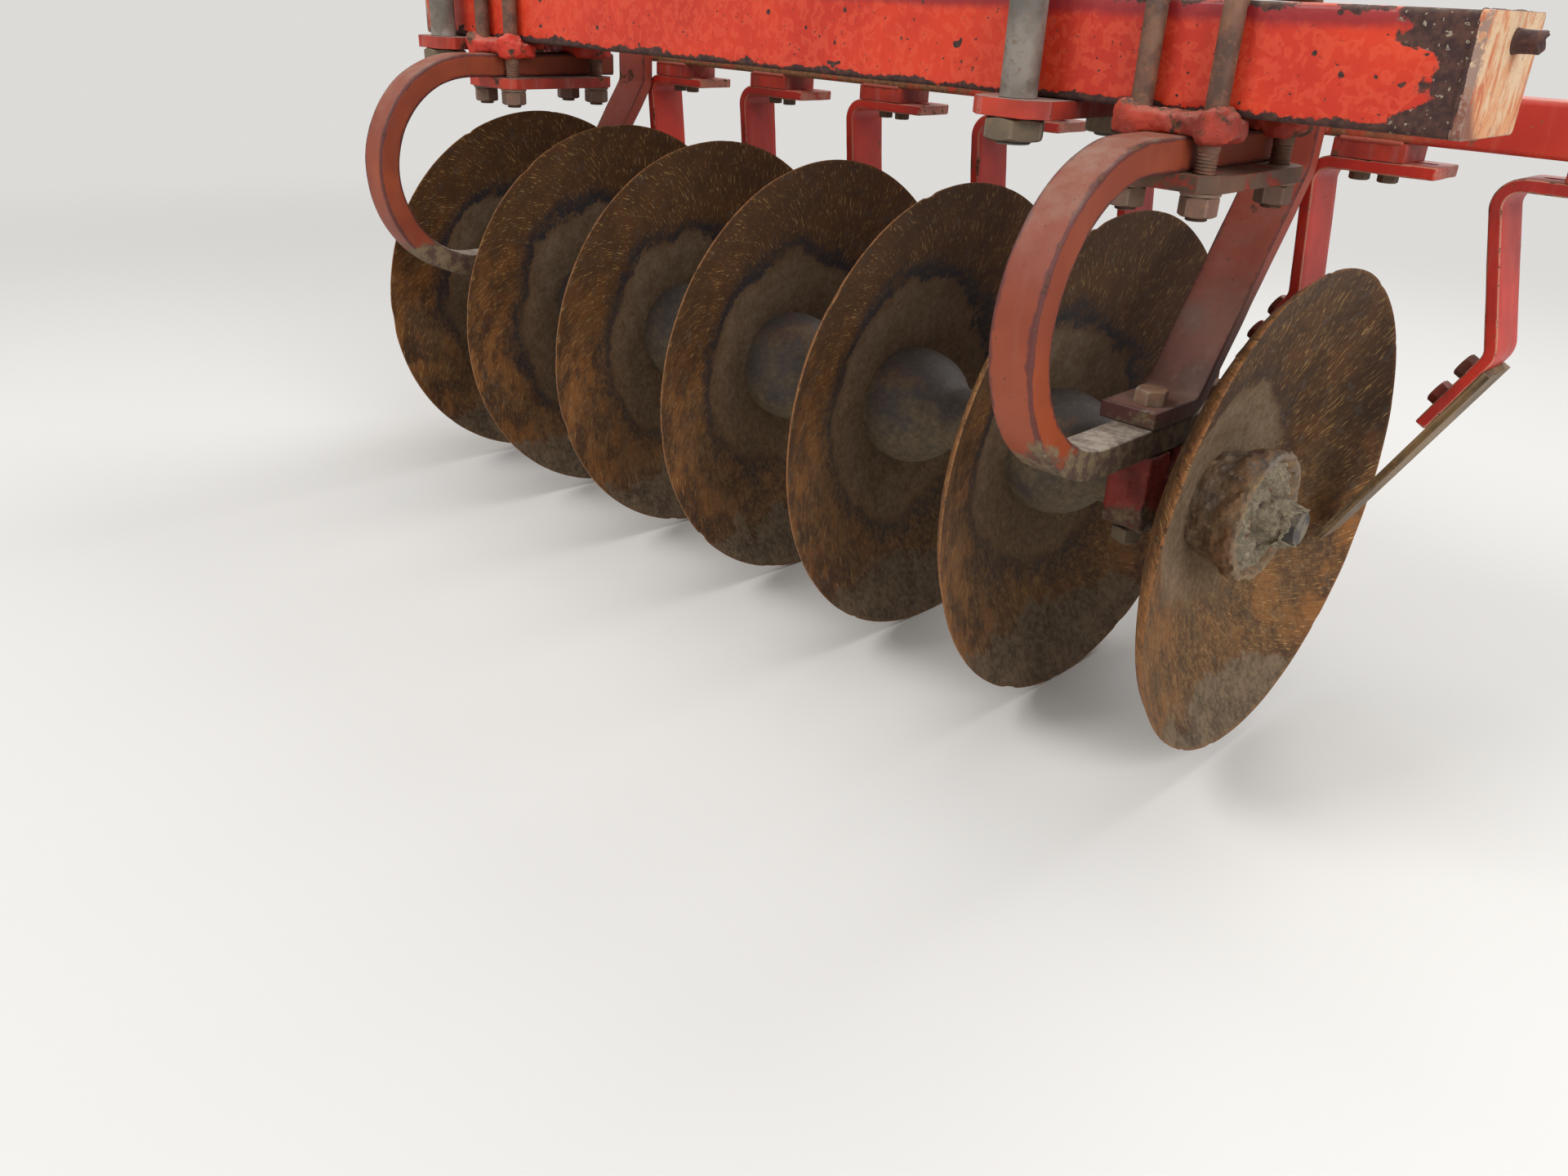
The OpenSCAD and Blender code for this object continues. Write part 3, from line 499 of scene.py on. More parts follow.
def beamCoat(name, s):
    # gloss paint with paler blotches, dark spots and runs, ragged bare bands at both edges and a bare outer end
    mat, tree, place = newFinish(name)
    x, _, z = parted(place)
    soft = roundedNormal(tree, 0.0012)
    edge = edgeMask(soft, 5.0)
    up = upMask(tree)
    broad = noiseAt(place, 5.0, 3.0, 0.6)
    blotch = noiseAt(place, 74.0, 3.0, 0.5, 0.4)
    ragged = noiseAt(place, 26.0, 7.0, 0.66)
    fine = noiseAt(place, 85.0, 6.0, 0.7)
    grain = noiseAt(place, 800.0, 3.0, 0.6)
    runs = streaksAt(place, (75.0, 75.0, 9.0), 4.0, 0.6)
    paint = mixed(stepped(broad, 0.36, 0.66), s["paint"], s["paintDark"])
    rings = stepped(blotch, 0.47, 0.56) * (1.0 - stepped(blotch, 0.58, 0.72)) * 0.36
    paint = mixed(rings, paint, s["blotch"])
    paint = mixed(stepped(runs, 0.6, 0.74) * 0.3, paint, s["paintDark"])
    # the crimson band under the top edge: painted shade
    shade = stepped(z + ragged * 0.016, -0.016, -0.004) * (1.0 - stepped(up, 0.5, 0.9)) * 0.82
    paint = mixed(shade, paint, s["crimson"])
    paint = mixed(stepped(up, 0.5, 0.95) * 0.6, paint, s["faded"])
    # bands at the edges: the nearer the edge, the more of the ragged noise shows bare
    low = (1.0 - stepped(z, s["bottom"], s["bottom"] + 0.022)) * 0.36
    high = stepped(z, -0.02, -0.001) * 0.2
    band = stepped(ragged + (most(low, high) + edge * 0.1), 0.76, 0.8)
    # the bare end, and tongues of it that run back along the top and the bottom edge
    tongue = stepped(z, -0.038, -0.026) * 0.038
    foot = (1.0 - stepped(z, -0.088, -0.07)) * 0.03
    toEnd = x + (tongue + foot) + (noiseAt(place, 42.0, 6.0, 0.62) - 0.5) * 0.075
    bareEnd = stepped(toEnd, s["endBare"], s["endBare"] + 0.006)
    chips = stepped(fine + (broad - 0.5) * 0.3, 0.745, 0.765)
    spots = stepped(noiseAt(place, 62.0, 1.0, 0.4), 0.735, 0.75)
    dots = stepped(noiseAt(place, 190.0, 2.0, 0.5), 0.695, 0.73)
    bare = most(band, bareEnd, chips, spots, dots)
    rust = mixed(stepped(noiseAt(place, 110.0, 6.0, 0.7), 0.38, 0.64), s["rustDark"], s["rust"])
    crust = noiseAt(place, 210.0, 2.0, 0.5)
    lichen = stepped(crust, 0.655, 0.68) * (1.0 - stepped(crust, 0.72, 0.76)) * bareEnd
    rust = mixed(lichen, rust, s["lichen"])
    colour = mixed(bare, paint, rust)
    dusty = stepped(up, 0.2, 0.9) * stepped(fine, 0.35, 0.7) * 0.35
    colour = mixed(dusty, colour, dustColour)
    relief = bare * -0.55 + fine * 0.22 + grain * bare * 0.5 + rings * 0.12
    return finished(mat, s, colour, bare * 0.4 + broad * 0.16, relief, soft, 0.36)


def streakedEnd(name, s):
    # sun bleached paint with upright streaks, bare and grey at its edges; its pale and cream streaks are partly
    # painted sunlight
    mat, tree, place = newFinish(name)
    _, y, z = parted(place)
    soft = roundedNormal(tree, 0.002)
    edge = edgeMask(soft, 5.0)
    streaks = streaksAt(place, (70.0, 76.0, 19.0), 9.0, 0.74, 0.9)
    patches = streaksAt(place, (30.0, 34.0, 22.0), 7.0, 0.68)
    fine = noiseAt(place, 150.0, 6.0, 0.7)
    # the pale and cream streaks: bleached paint, made paler still as painted sunlight
    colour = mixed(stepped(streaks, 0.36, 0.54), s["red"], s["pale"])
    colour = mixed(stepped(patches * 0.6 + streaks * 0.4, 0.45, 0.56) * 0.92, colour, s["cream"])
    # pits, and a red brown lower front corner that is painted shadow
    colour = mixed(stepped(noiseAt(place, 240.0, 3.0, 0.6), 0.62, 0.68) * 0.55, colour, s["bare"])
    shadedCorner = z * -1.0 + y * -0.8 + (patches - 0.5) * 0.05
    colour = mixed(stepped(shadedCorner, 0.108, 0.132) * 0.85, colour, s["shadedCorner"])
    outward = most(stepped(calc("ABSOLUTE", y), 0.05, 0.07), stepped(z * -1.0, 0.07, 0.102))
    worn = fine * 0.5 + patches * 0.5 + (edge * 0.2 + outward * 0.1)
    colour = mixed(stepped(worn, 0.6, 0.66), colour, s["bare"])
    return finished(mat, s, colour, fine * 0.3, streaks * 0.5 + fine * 0.5, soft, 0.3)


beamPaint = beamCoat("beamRed", {
    "paint": (0.66, 0.046, 0.014), "paintDark": (0.50, 0.028, 0.012), "blotch": (0.74, 0.105, 0.045),
    "crimson": (0.22, 0.014, 0.022), "faded": (0.62, 0.17, 0.11), "rust": (0.095, 0.042, 0.030),
    "rustDark": (0.040, 0.019, 0.018), "lichen": (0.33, 0.28, 0.20), "bottom": -0.102,
    "endBare": 0.9755, "roughness": 0.34, "depth": 0.0010})
capPaint = streakedEnd("capBleachedAndSunlit", {
    "red": (0.50, 0.125, 0.055), "pale": (0.64, 0.320, 0.160), "cream": (0.68, 0.495, 0.320),
    "bare": (0.33, 0.215, 0.170), "shadedCorner": (0.150, 0.052, 0.040), "roughness": 0.45,
    "depth": 0.0012})
# what a paint has where its own settings say nothing
plainPaint = {
    "rust": (0.17, 0.066, 0.026), "rustDark": (0.045, 0.028, 0.022), "broadScale": 6.0, "patchScale": 16.0,
    "chipScale": 90.0, "chipLevel": 0.80, "edgeWear": 0.24, "runs": 0.30, "topFade": 0.5, "spots": 1.0,
    "dust": 0.35, "roughness": 0.42, "lumpy": 0.5, "depth": 0.0010, "round": 0.0016}
barPaint = chippedPaint("barRed", {
    "paint": (0.62, 0.044, 0.016), "paintDark": (0.42, 0.026, 0.014), "faded": (0.55, 0.13, 0.08),
    "rust": (0.27, 0.165, 0.070), "rustDark": (0.115, 0.066, 0.034), "chipScale": 70.0, "patchLevel": 0.66,
    "edgeWear": 0.30, "dust": 0.6, "bareInward": (0.95, 1.10, 0.92)})
springPaint = chippedPaint("springBrick", {
    "paint": (0.315, 0.064, 0.022), "paintDark": (0.205, 0.040, 0.018), "faded": (0.255, 0.088, 0.054),
    "patchScale": 14.0, "chipScale": 60.0, "patchLevel": 0.70, "chipLevel": 0.84,
    "line": (0.80, (0.070, 0.020, 0.022), 1.34), "runs": 0.25, "topFade": 0.60, "spots": 0.8, "roughness": 0.46,
    "lumpy": 0.35, "dirt": (-0.350, -0.435, 0.94)})
castPaint = chippedPaint("castRed", {
    "paint": (0.42, 0.042, 0.018), "paintDark": (0.20, 0.024, 0.016), "faded": (0.46, 0.13, 0.085),
    "broadScale": 16.0, "patchScale": 30.0, "patchLevel": 0.548, "chipLevel": 0.655, "dust": 0.30,
    "roughness": 0.50, "lumpy": 1.2, "depth": 0.0018, "round": 0.0030})
freshCast = chippedPaint("castFresh", {
    "paint": (0.58, 0.038, 0.018), "paintDark": (0.36, 0.022, 0.014), "faded": (0.54, 0.13, 0.085),
    "broadScale": 12.0, "patchScale": 28.0, "patchLevel": 0.575, "chipLevel": 0.69, "edgeWear": 0.22,
    "dust": 0.30, "lumpy": 1.0, "depth": 0.0014, "round": 0.0030})
housingPaint = chippedPaint("housingRed", {
    "paint": (0.27, 0.034, 0.023), "paintDark": (0.125, 0.024, 0.018), "faded": (0.30, 0.090, 0.064),
    "broadScale": 14.0, "patchScale": 22.0, "patchLevel": 0.60, "chipLevel": 0.72, "edgeWear": 0.22, "runs": 0.35,
    "dust": 0.5, "roughness": 0.50, "lumpy": 1.2, "depth": 0.0018, "round": 0.0030,
    "dirt": (-0.470, -0.560, 0.9)})
# the outer hanger plate: worn brown paint, made darker than the inner plate as painted shade
hangerPaint = chippedPaint("hangerWornAndShaded", {
    "paint": (0.140, 0.068, 0.036), "paintDark": (0.072, 0.040, 0.025), "faded": (0.175, 0.100, 0.058),
    "rust": (0.36, 0.045, 0.026), "rustDark": (0.18, 0.036, 0.024), "broadScale": 12.0, "patchScale": 14.0,
    "chipScale": 70.0, "patchLevel": 0.53, "chipLevel": 0.78, "edgeWear": 0.10, "topFade": 0.85, "spots": 0.6,
    "dust": 0.25, "roughness": 0.50, "lumpy": 0.7, "depth": 0.0012})
platePaint = chippedPaint("plateRed", {
    "paint": (0.50, 0.044, 0.020), "paintDark": (0.25, 0.026, 0.017), "faded": (0.33, 0.235, 0.205),
    "broadScale": 14.0, "patchScale": 18.0, "chipScale": 80.0, "patchLevel": 0.61, "chipLevel": 0.75,
    "edgeWear": 0.26, "runs": 0.35, "topFade": 0.9, "dust": 0.45, "lumpy": 0.7, "depth": 0.0013})
armPaint = chippedPaint("armBrick", {
    "paint": (0.225, 0.080, 0.053), "paintDark": (0.128, 0.046, 0.034), "faded": (0.250, 0.118, 0.083),
    "broadScale": 11.0, "chipScale": 75.0, "patchLevel": 0.64, "upper": (-0.26, -0.14, (0.42, 0.070, 0.040)),
    "line": (0.70, (0.070, 0.024, 0.026), 1.34), "edgeWear": 0.20, "runs": 0.55, "topFade": 0.60, "spots": 0.9,
    "dust": 0.34, "roughness": 0.48, "round": 0.0014, "dirt": (-0.37, -0.45, 0.75)})
shankPaint = chippedPaint("shankRed", {
    "paint": (0.54, 0.028, 0.013), "paintDark": (0.33, 0.020, 0.014), "faded": (0.50, 0.12, 0.085),
    "broadScale": 9.0, "patchScale": 20.0, "patchLevel": 0.69, "chipLevel": 0.83,
    "line": (0.55, (0.50, 0.31, 0.20), 1.62), "runs": 0.25, "topFade": 0.60, "spots": 0.9, "roughness": 0.38,
    "lumpy": 0.3, "depth": 0.0009, "round": 0.0012})
# the same for steel
plainSteel = {
    "fineScale": 150.0, "rub": 0.5, "mud": 0.3, "roughness": 0.55, "depth": 0.0007, "metallic": 0.0,
    "round": 0.0010}
rodSteel = rustySteel("rodSteel", {
    "dark": (0.080, 0.042, 0.030), "brown": (0.185, 0.086, 0.053), "orange": (0.26, 0.105, 0.052),
    "light": (0.36, 0.25, 0.19), "mudColour": (0.20, 0.145, 0.095), "broadScale": 22.0, "fineScale": 130.0,
    "roughness": 0.44, "metallic": 0.15})
nutSteel = rustySteel("nutSteel", {
    "dark": (0.060, 0.045, 0.029), "brown": (0.140, 0.094, 0.052), "orange": (0.22, 0.125, 0.056),
    "light": (0.27, 0.215, 0.155), "mudColour": (0.175, 0.135, 0.085), "broadScale": 30.0, "fineScale": 160.0,
    "rub": 0.6, "mud": 0.45, "roughness": 0.50, "depth": 0.0010, "metallic": 0.12, "round": 0.0014})
dustyBolt = rustySteel("dustyBolt", {
    "dark": (0.15, 0.075, 0.045), "brown": (0.30, 0.155, 0.080), "orange": (0.38, 0.190, 0.085),
    "light": (0.46, 0.36, 0.27), "mudColour": (0.34, 0.28, 0.21), "broadScale": 34.0, "rub": 0.6, "mud": 0.5,
    "depth": 0.0011, "round": 0.0014})
pinRust = rustySteel("pinRust", {
    "dark": (0.040, 0.016, 0.016), "brown": (0.085, 0.036, 0.030), "orange": (0.14, 0.060, 0.036),
    "light": (0.22, 0.13, 0.10), "mudColour": (0.14, 0.10, 0.08), "broadScale": 50.0, "depth": 0.0012})
redBolt = rustySteel("redBolt", {
    "dark": (0.165, 0.026, 0.018), "brown": (0.34, 0.045, 0.028), "orange": (0.17, 0.065, 0.038),
    "light": (0.36, 0.17, 0.12), "mudColour": (0.20, 0.15, 0.10), "broadScale": 40.0, "mud": 0.4,
    "roughness": 0.45, "depth": 0.0008, "round": 0.0012})
bladeSteel = rustySteel("bladeSteel", {
    "dark": (0.085, 0.052, 0.025), "brown": (0.190, 0.112, 0.044), "orange": (0.27, 0.145, 0.048),
    "light": (0.35, 0.235, 0.125), "mudColour": (0.200, 0.132, 0.064), "broadScale": 12.0, "fineScale": 90.0,
    "rub": 0.7, "mud": 0.5, "roughness": 0.38, "metallic": 0.1, "round": 0.0012, "lean": 29.0})
studSteel = rustySteel("studSteel", {
    "dark": (0.13, 0.115, 0.10), "brown": (0.24, 0.21, 0.18), "orange": (0.20, 0.13, 0.085),
    "light": (0.42, 0.39, 0.35), "mudColour": (0.12, 0.085, 0.06), "broadScale": 14.0, "fineScale": 120.0,
    "mud": 0.4, "roughness": 0.42, "depth": 0.0006, "metallic": 0.25})
axleSteel = rustySteel("axleSteel", {
    "dark": (0.050, 0.046, 0.046), "brown": (0.092, 0.078, 0.068), "orange": (0.145, 0.095, 0.062),
    "light": (0.17, 0.15, 0.14), "mudColour": (0.23, 0.19, 0.135), "broadScale": 60.0, "fineScale": 110.0,
    "mud": 0.7, "roughness": 0.58, "depth": 0.0016, "round": 0.0016})
print("finishes for paint and steel are mixed")

dishSteel = dishRust("dishRust", {
    "dark": (0.058, 0.027, 0.013), "brown": (0.170, 0.070, 0.023), "orange": (0.31, 0.122, 0.031),
    # old and the colour after it darken the dishes toward the top as painted shade
    "old": (0.090, 0.042, 0.016), "shadedTopOuter": (0.034, 0.016, 0.006),
    "fleck": (0.60, 0.38, 0.14), "blue": (0.100, 0.098, 0.090), "hubDark": (0.022, 0.023, 0.030),
    "collar": (0.230, 0.170, 0.115), "mud": (0.270, 0.168, 0.082), "mudDark": (0.130, 0.082, 0.045),
    "soil": (0.200, 0.147, 0.096), "soilDark": (0.090, 0.066, 0.044), "soilAt": 0.212, "outerLess": 0.034,
    "rim": (0.27, 0.115, 0.040), "flecks": 0.85, "swirl": 3.0, "roughness": 0.46, "depth": 0.0008})
castMudIron = castMud("castMudIron", {
    "dark": (0.108, 0.098, 0.094), "brown": (0.175, 0.135, 0.108), "rust": (0.210, 0.062, 0.048),
    "mud": (0.32, 0.250, 0.155), "mudDark": (0.165, 0.128, 0.082), "mudAmount": 0.92, "cover": 0.15,
    "roughness": 0.50, "depth": 0.0018})
endMudIron = castMud("endMudIron", {
    "dark": (0.16, 0.138, 0.120), "brown": (0.25, 0.170, 0.108), "rust": (0.38, 0.185, 0.070),
    "mud": (0.33, 0.215, 0.115), "mudDark": (0.150, 0.098, 0.056), "mudAmount": 0.75, "cover": 0.55,
    "ring": (0.850, 0.880, 0.55, (0.30, 0.150, 0.066)), "roughness": 0.66, "depth": 0.0030})
driedMud = castMud("driedMud", {
    "dark": (0.13, 0.108, 0.080), "brown": (0.24, 0.190, 0.130), "rust": (0.22, 0.085, 0.052),
    "mud": (0.38, 0.315, 0.215), "mudDark": (0.145, 0.120, 0.086), "mudAmount": 0.9, "cover": 1.2,
    "roughness": 0.75, "depth": 0.0030})


# Shape helpers

def ringFaces(rings, sides, loop=False):
    # quads between each ring and the next; every ring is closed on itself, and the row of rings too if loop
    i = np.arange(rings if loop else rings - 1)[:, None]
    j = np.arange(sides)[None, :]
    k, n = (i + 1) % rings, (j + 1) % sides
    return np.stack([i * sides + j, i * sides + n, k * sides + n, k * sides + j], -1).reshape(-1, 4)


def waves(points, seed, size, octaves=3):
    # a sum of plane sine waves in random directions, each octave half as long and half as high; about -1 to 1
    rng = np.random.default_rng(seed)
    total = np.zeros(points.shape[:-1])
    for o in range(octaves):
        way = rng.normal(size=(7, 3))
        way *= (2 * math.pi / (size * 0.5 ** o)) / np.linalg.norm(way, axis=1, keepdims=True)
        phase = rng.uniform(0, 2 * math.pi, 7)
        total += np.sin(points @ way.T + phase).sum(-1) * 0.5 ** o / 3.2
    return total


def ripple(angle, seed, low, high, power=1.0):
    # a sum of whole-number waves round a circle, the n-th with height n to the minus power; about -1 to 1
    rng = np.random.default_rng(seed)
    n = np.arange(low, high + 1)
    height = rng.uniform(0.4, 1.0, len(n)) / n ** power
    phase = rng.uniform(0, 2 * math.pi, len(n))
    total = (np.sin(angle[..., None] * n + phase) * height).sum(-1)
    return total / (np.sqrt((height ** 2).sum() / 2) * 2.2)


def rise(value, low, high):
    # 0 below low, 1 above high, smooth between
    t = np.clip((value - low) / (high - low), 0.0, 1.0)
    return t * t * (3 - 2 * t)


def grown(grid, height):
    # points moved along the surface's normal, which is the cross product of its two grid directions
    across = np.roll(grid, -1, 1) - np.roll(grid, 1, 1)
    normal = np.cross(across, np.gradient(grid, axis=0))
    normal /= np.maximum(np.linalg.norm(normal, axis=-1, keepdims=True), 1e-9)
    return grid + normal * height[..., None]


def softLoops(corners, counts, passes):
    # closed polygons, one a row, cut into counts[k] steps from corner k; averaging neighbours rounds the corners
    t = [np.arange(n)[None, :, None] / n for n in counts]
    ends = np.roll(corners, -1, 1)
    loops = np.concatenate([corners[:, k:k + 1] + (ends[:, k:k + 1] - corners[:, k:k + 1]) * t[k]
                            for k in range(len(counts))], 1)
    for _ in range(passes):
        loops = (np.roll(loops, 1, 1) + 2 * loops + np.roll(loops, -1, 1)) / 4
    return loops


def applied(ob):
    # the object's modifiers are worked into its mesh
    mesh = bpy.data.meshes.new_from_object(ob.evaluated_get(bpy.context.evaluated_depsgraph_get()))
    ob.modifiers.clear()
    old, ob.data = ob.data, mesh
    bpy.data.meshes.remove(old)
    return mesh


def makePiece(name, parts, body, finish, nodes=(), angle=0.6):
    # one object from shells of points, quads, end caps and edge weights, faces turned outwards
    starts = np.cumsum([0] + [len(p[0]) for p in parts])
    points = np.concatenate([p[0] for p in parts])
    quads = np.concatenate([p[1] + s for p, s in zip(parts, starts)])
    caps = [np.asarray(c) + s for p, s in zip(parts, starts) for c in p[2]]
    weight = np.concatenate([p[3] for p in parts])
    counts = np.array([4] * len(quads) + [len(c) for c in caps])
    mesh = bpy.data.meshes.new(name)
    mesh.vertices.add(len(points))
    mesh.vertices.foreach_set("co", points.astype(np.float32).ravel())
    corners = np.concatenate([quads.ravel()] + caps).astype(np.int32)
    mesh.loops.add(len(corners))
    mesh.loops.foreach_set("vertex_index", corners)
    mesh.polygons.add(len(counts))
    mesh.polygons.foreach_set("loop_start", (np.cumsum(counts) - counts).astype(np.int32))
    mesh.update(calc_edges=True)
    mesh.validate()
    shell = bmesh.new()
    shell.from_mesh(mesh)
    bmesh.ops.recalc_face_normals(shell, faces=shell.faces)
    shell.to_mesh(mesh)
    shell.free()
    mesh.polygons.foreach_set("use_smooth", np.ones(len(mesh.polygons), dtype=bool))
    mesh.set_sharp_from_angle(angle=angle)
    mesh.attributes.new("edge", "FLOAT", "POINT").data.foreach_set("value", weight.astype(np.float32))
    mesh.materials.append(finish)
    ob = bpy.data.objects.new(name, mesh)
    scene.collection.objects.link(ob)
    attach(ob, body)
    if nodes:
        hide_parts(*nodes)
    return ob


def sidePiece(n, name, parts, finish, node, angle=0.6):
    # a piece of the outer (n = 0) or the inner side (n = 1), named after its side
    makePiece(name + sideNames[n].title(), parts, "carrier", finish, [node + sideNames[n]], angle=angle)


def gridPart(grid, edge=None, loop=False):
    # rings of points as a part: points, quads, flat faces at both ends unless it is a loop, and edge weights
    rows, sides = grid.shape[:2]
    caps = [] if loop else [np.arange(sides), (rows - 1) * sides + np.arange(sides)]
    weight = np.zeros(rows * sides) if edge is None else edge.ravel()
    return grid.reshape(-1, 3), ringFaces(rows, sides, loop), caps, weight


def fullTurn(sides):
    # even angles once round
    return np.linspace(0, 2 * math.pi, sides, endpoint=False)


def aboutX(along, radius, angle):
    # points at a radius and an angle about the x axis; the angle starts at z
    return np.stack([along, radius * np.sin(angle), radius * np.cos(angle)], -1)


def turned(loop, sides, weight, shape, x):
    # a closed loop of (along, radius) turned about the axle, with along counted from x
    angle = fullTurn(sides)[None, :]
    along, radius = (np.repeat(loop[:, k:k + 1], sides, 1) for k in (0, 1))
    edge = np.repeat(np.asarray(weight, float)[:, None], sides, 1)
    along, radius, edge = shape(along, radius, angle, edge)
    return gridPart(aboutX(along, radius, angle) + (x, axleY, axleZ), edge, True)


def denseLoop(corners, step, weights=None):
    # a closed loop with points added so that none lie further apart than step
    corners = np.asarray(corners, float)
    weights = np.zeros(len(corners)) if weights is None else np.asarray(weights, float)
    points, edge = [], []
    for k in range(len(corners)):
        a, b = corners[k], corners[(k + 1) % len(corners)]
        n = max(1, int(math.ceil(np.linalg.norm(b - a) / step)))
        t = np.arange(n)[:, None] / n
        points.append(a + (b - a) * t)
        edge.append(weights[k] * (1 - t[:, 0]) ** 3 + weights[(k + 1) % len(corners)] * t[:, 0] ** 3)
    return np.concatenate(points), np.concatenate(edge)


def roundBar(radius, sides=32):
    # a round section: where it starts, which way it grows, how far, and its edge weights
    a = fullTurn(sides)
    return np.zeros((sides, 2)), np.stack([np.cos(a), np.sin(a)], -1), radius, np.zeros(sides)


def flatBar(width, thick, radius, flats=3):
    # a rectangle with rounded corners, and points along its flats
    base, way, edge = [], [], []
    a, b = width / 2 - radius, thick / 2 - radius
    spots = [(a, b), (-a, b), (-a, -b), (a, -b)]
    for k in range(4):
        turn = np.radians(np.linspace(0, 90, 4) + 90 * k)
        base += [spots[k]] * 4
        way += list(np.stack([np.cos(turn), np.sin(turn)], -1))
        edge += [0.55, 1.0, 1.0, 0.55]
        t = (np.arange(flats) + 1)[:, None] / (flats + 1)
        base += list(np.array(spots[k]) + (np.array(spots[(k + 1) % 4]) - np.array(spots[k])) * t)
        way += [way[-1]] * flats
        edge += [0.0] * flats
    return np.array(base), np.array(way), radius, np.array(edge)


def bentPath(corners, bend, step):
    # straight runs joined by arcs of radius bend, with points no further apart than step
    corners = np.asarray(corners, float)
    path = [corners[:1]]
    here = corners[0]
    for k in range(1, len(corners)):
        if k < len(corners) - 1:
            u = corners[k] - corners[k - 1]
            v = corners[k + 1] - corners[k]
            u, v = u / np.linalg.norm(u), v / np.linalg.norm(v)
            turn = math.atan2(u[0] * v[1] - u[1] * v[0], u @ v)
            cut = bend * math.tan(abs(turn) / 2)
            there = corners[k] - u * cut
        else:
            there = corners[k]
        n = max(1, int(math.ceil(np.linalg.norm(there - here) / step)))
        path.append(here + (there - here) * (np.arange(1, n + 1)[:, None] / n))
        if k < len(corners) - 1:
            side = np.array([-u[1], u[0]]) * math.copysign(1, turn)
            centre = there + side * bend
            m = max(3, int(math.ceil(abs(turn) / math.radians(6))))
            a = turn * np.arange(1, m + 1) / m
            arm = -side * bend
            path.append(centre + np.stack([arm[0] * np.cos(a) - arm[1] * np.sin(a),
                                           arm[0] * np.sin(a) + arm[1] * np.cos(a)], -1))
            here = path[-1][-1]
    return np.concatenate(path)


def sweep(path, section, at, plane="yz", chamfer=0.0012, grow=None):
    # the section carried along a path in the yz or the xz plane: u runs out of the plane, v along the path's normal
    base, way, radius, weight = section
    ahead = np.gradient(path, axis=0)
    ahead /= np.linalg.norm(ahead, axis=1, keepdims=True)
    first = path[0] + ahead[0] * chamfer
    last = path[-1] - ahead[-1] * chamfer
    path = np.concatenate([path[:1], [first], path[1:-1], [last], path[-1:]])
    ahead = np.concatenate([ahead[:1], ahead[:1], ahead[1:-1], ahead[-1:], ahead[-1:]])
    normal = np.stack([-ahead[:, 1], ahead[:, 0]], -1)
    length = np.concatenate([[0], np.cumsum(np.linalg.norm(np.diff(path, axis=0), axis=1))])
    size = np.full((len(path), len(base)), float(radius))
    size[[0, -1]] -= chamfer

    def place(size):
        u = base[None, :, 0] + way[None, :, 0] * size
        v = base[None, :, 1] + way[None, :, 1] * size
        flat = path[:, None, :] + normal[:, None, :] * v[..., None]
        out, along, up = at + u, flat[..., 0], flat[..., 1]
        return np.stack([out, along, up] if plane == "yz" else [along, out, up], -1)
    points = place(size)
    if grow is not None:
        points = place(size + grow(points, length))
    edge = np.repeat(weight[None, :], len(path), 0)
    edge[[0, 1, -2, -1]] = np.maximum(edge[[0, 1, -2, -1]], 0.8)
    return gridPart(points, edge)


def threaded(radius, pitch, depth, zones):
    # a round bar's growth in its threaded zones: a saw that climbs one pitch per turn
    def grow(points, length):
        sides = points.shape[1]
        angle = np.arange(sides) / sides
        saw = np.abs(((length[:, None] / pitch - angle[None, :]) % 1.0) * 2 - 1)
        inside = np.zeros(len(length))
        for low, high in zones(length[-1]):
            inside = np.maximum(inside, rise(length, low, low + pitch) * (1 - rise(length, high - pitch, high)))
        return -depth * saw * inside[:, None]
    return grow


def hexNut(place, across, low, high, turn=0.0, bore=0.0, way=(0, 0, 1), topCut=1.0, bottomCut=1.0):
    # a hexagon whose corners are cut by a 30 degree cone above and below; it stands along way from low to high
    sides = 72
    a = fullTurn(sides)
    flat, slope = across / 2, 0.577     # the slope is the tangent of 30 degrees
    rim = flat / np.cos((a + turn + math.pi / 6) % (math.pi / 3) - math.pi / 6)
    inner = flat * 0.95
    share = [0.0, 0.5, 1.0]
    rings = [(bore, high)]
    for t in share:
        r = inner + (rim - inner) * t
        rings.append((r, high - np.maximum(0, r - inner) * slope * topCut))
    for t in share[::-1]:
        r = inner + (rim - inner) * t
        rings.append((r, low + np.maximum(0, r - inner) * slope * bottomCut))
    rings.append((bore, low))
    radius = np.array([np.broadcast_to(r, sides) for r, z in rings])
    height = np.array([np.broadcast_to(z, sides) for r, z in rings])
    corner = np.maximum(0.35, rise(rim, flat * 1.08, flat * 1.15))
    weight = np.array([0, 0.3, 0.8, 1.0, 1.0, 0.8, 0.3, 0])[:, None] * corner
    up = Vector(way).normalized()
    turnTo = np.array(Vector((0, 0, 1)).rotation_difference(up).to_matrix())
    local = np.stack([radius * np.cos(a), radius * np.sin(a), height], -1)
    points = local @ turnTo.T + np.asarray(place)
    if bore > 0:
        return gridPart(points, weight, True)
    return gridPart(points[1:-1], weight[1:-1])


def barUp(place, radius, low, high, step=0.01, grow=None, sides=32, chamfer=0.0012):
    # an upright round bar from low to high
    path = bentPath([(place[1], low), (place[1], high)], 0.01, step)
    return sweep(path, roundBar(radius, sides), place[0], "yz", chamfer, grow)


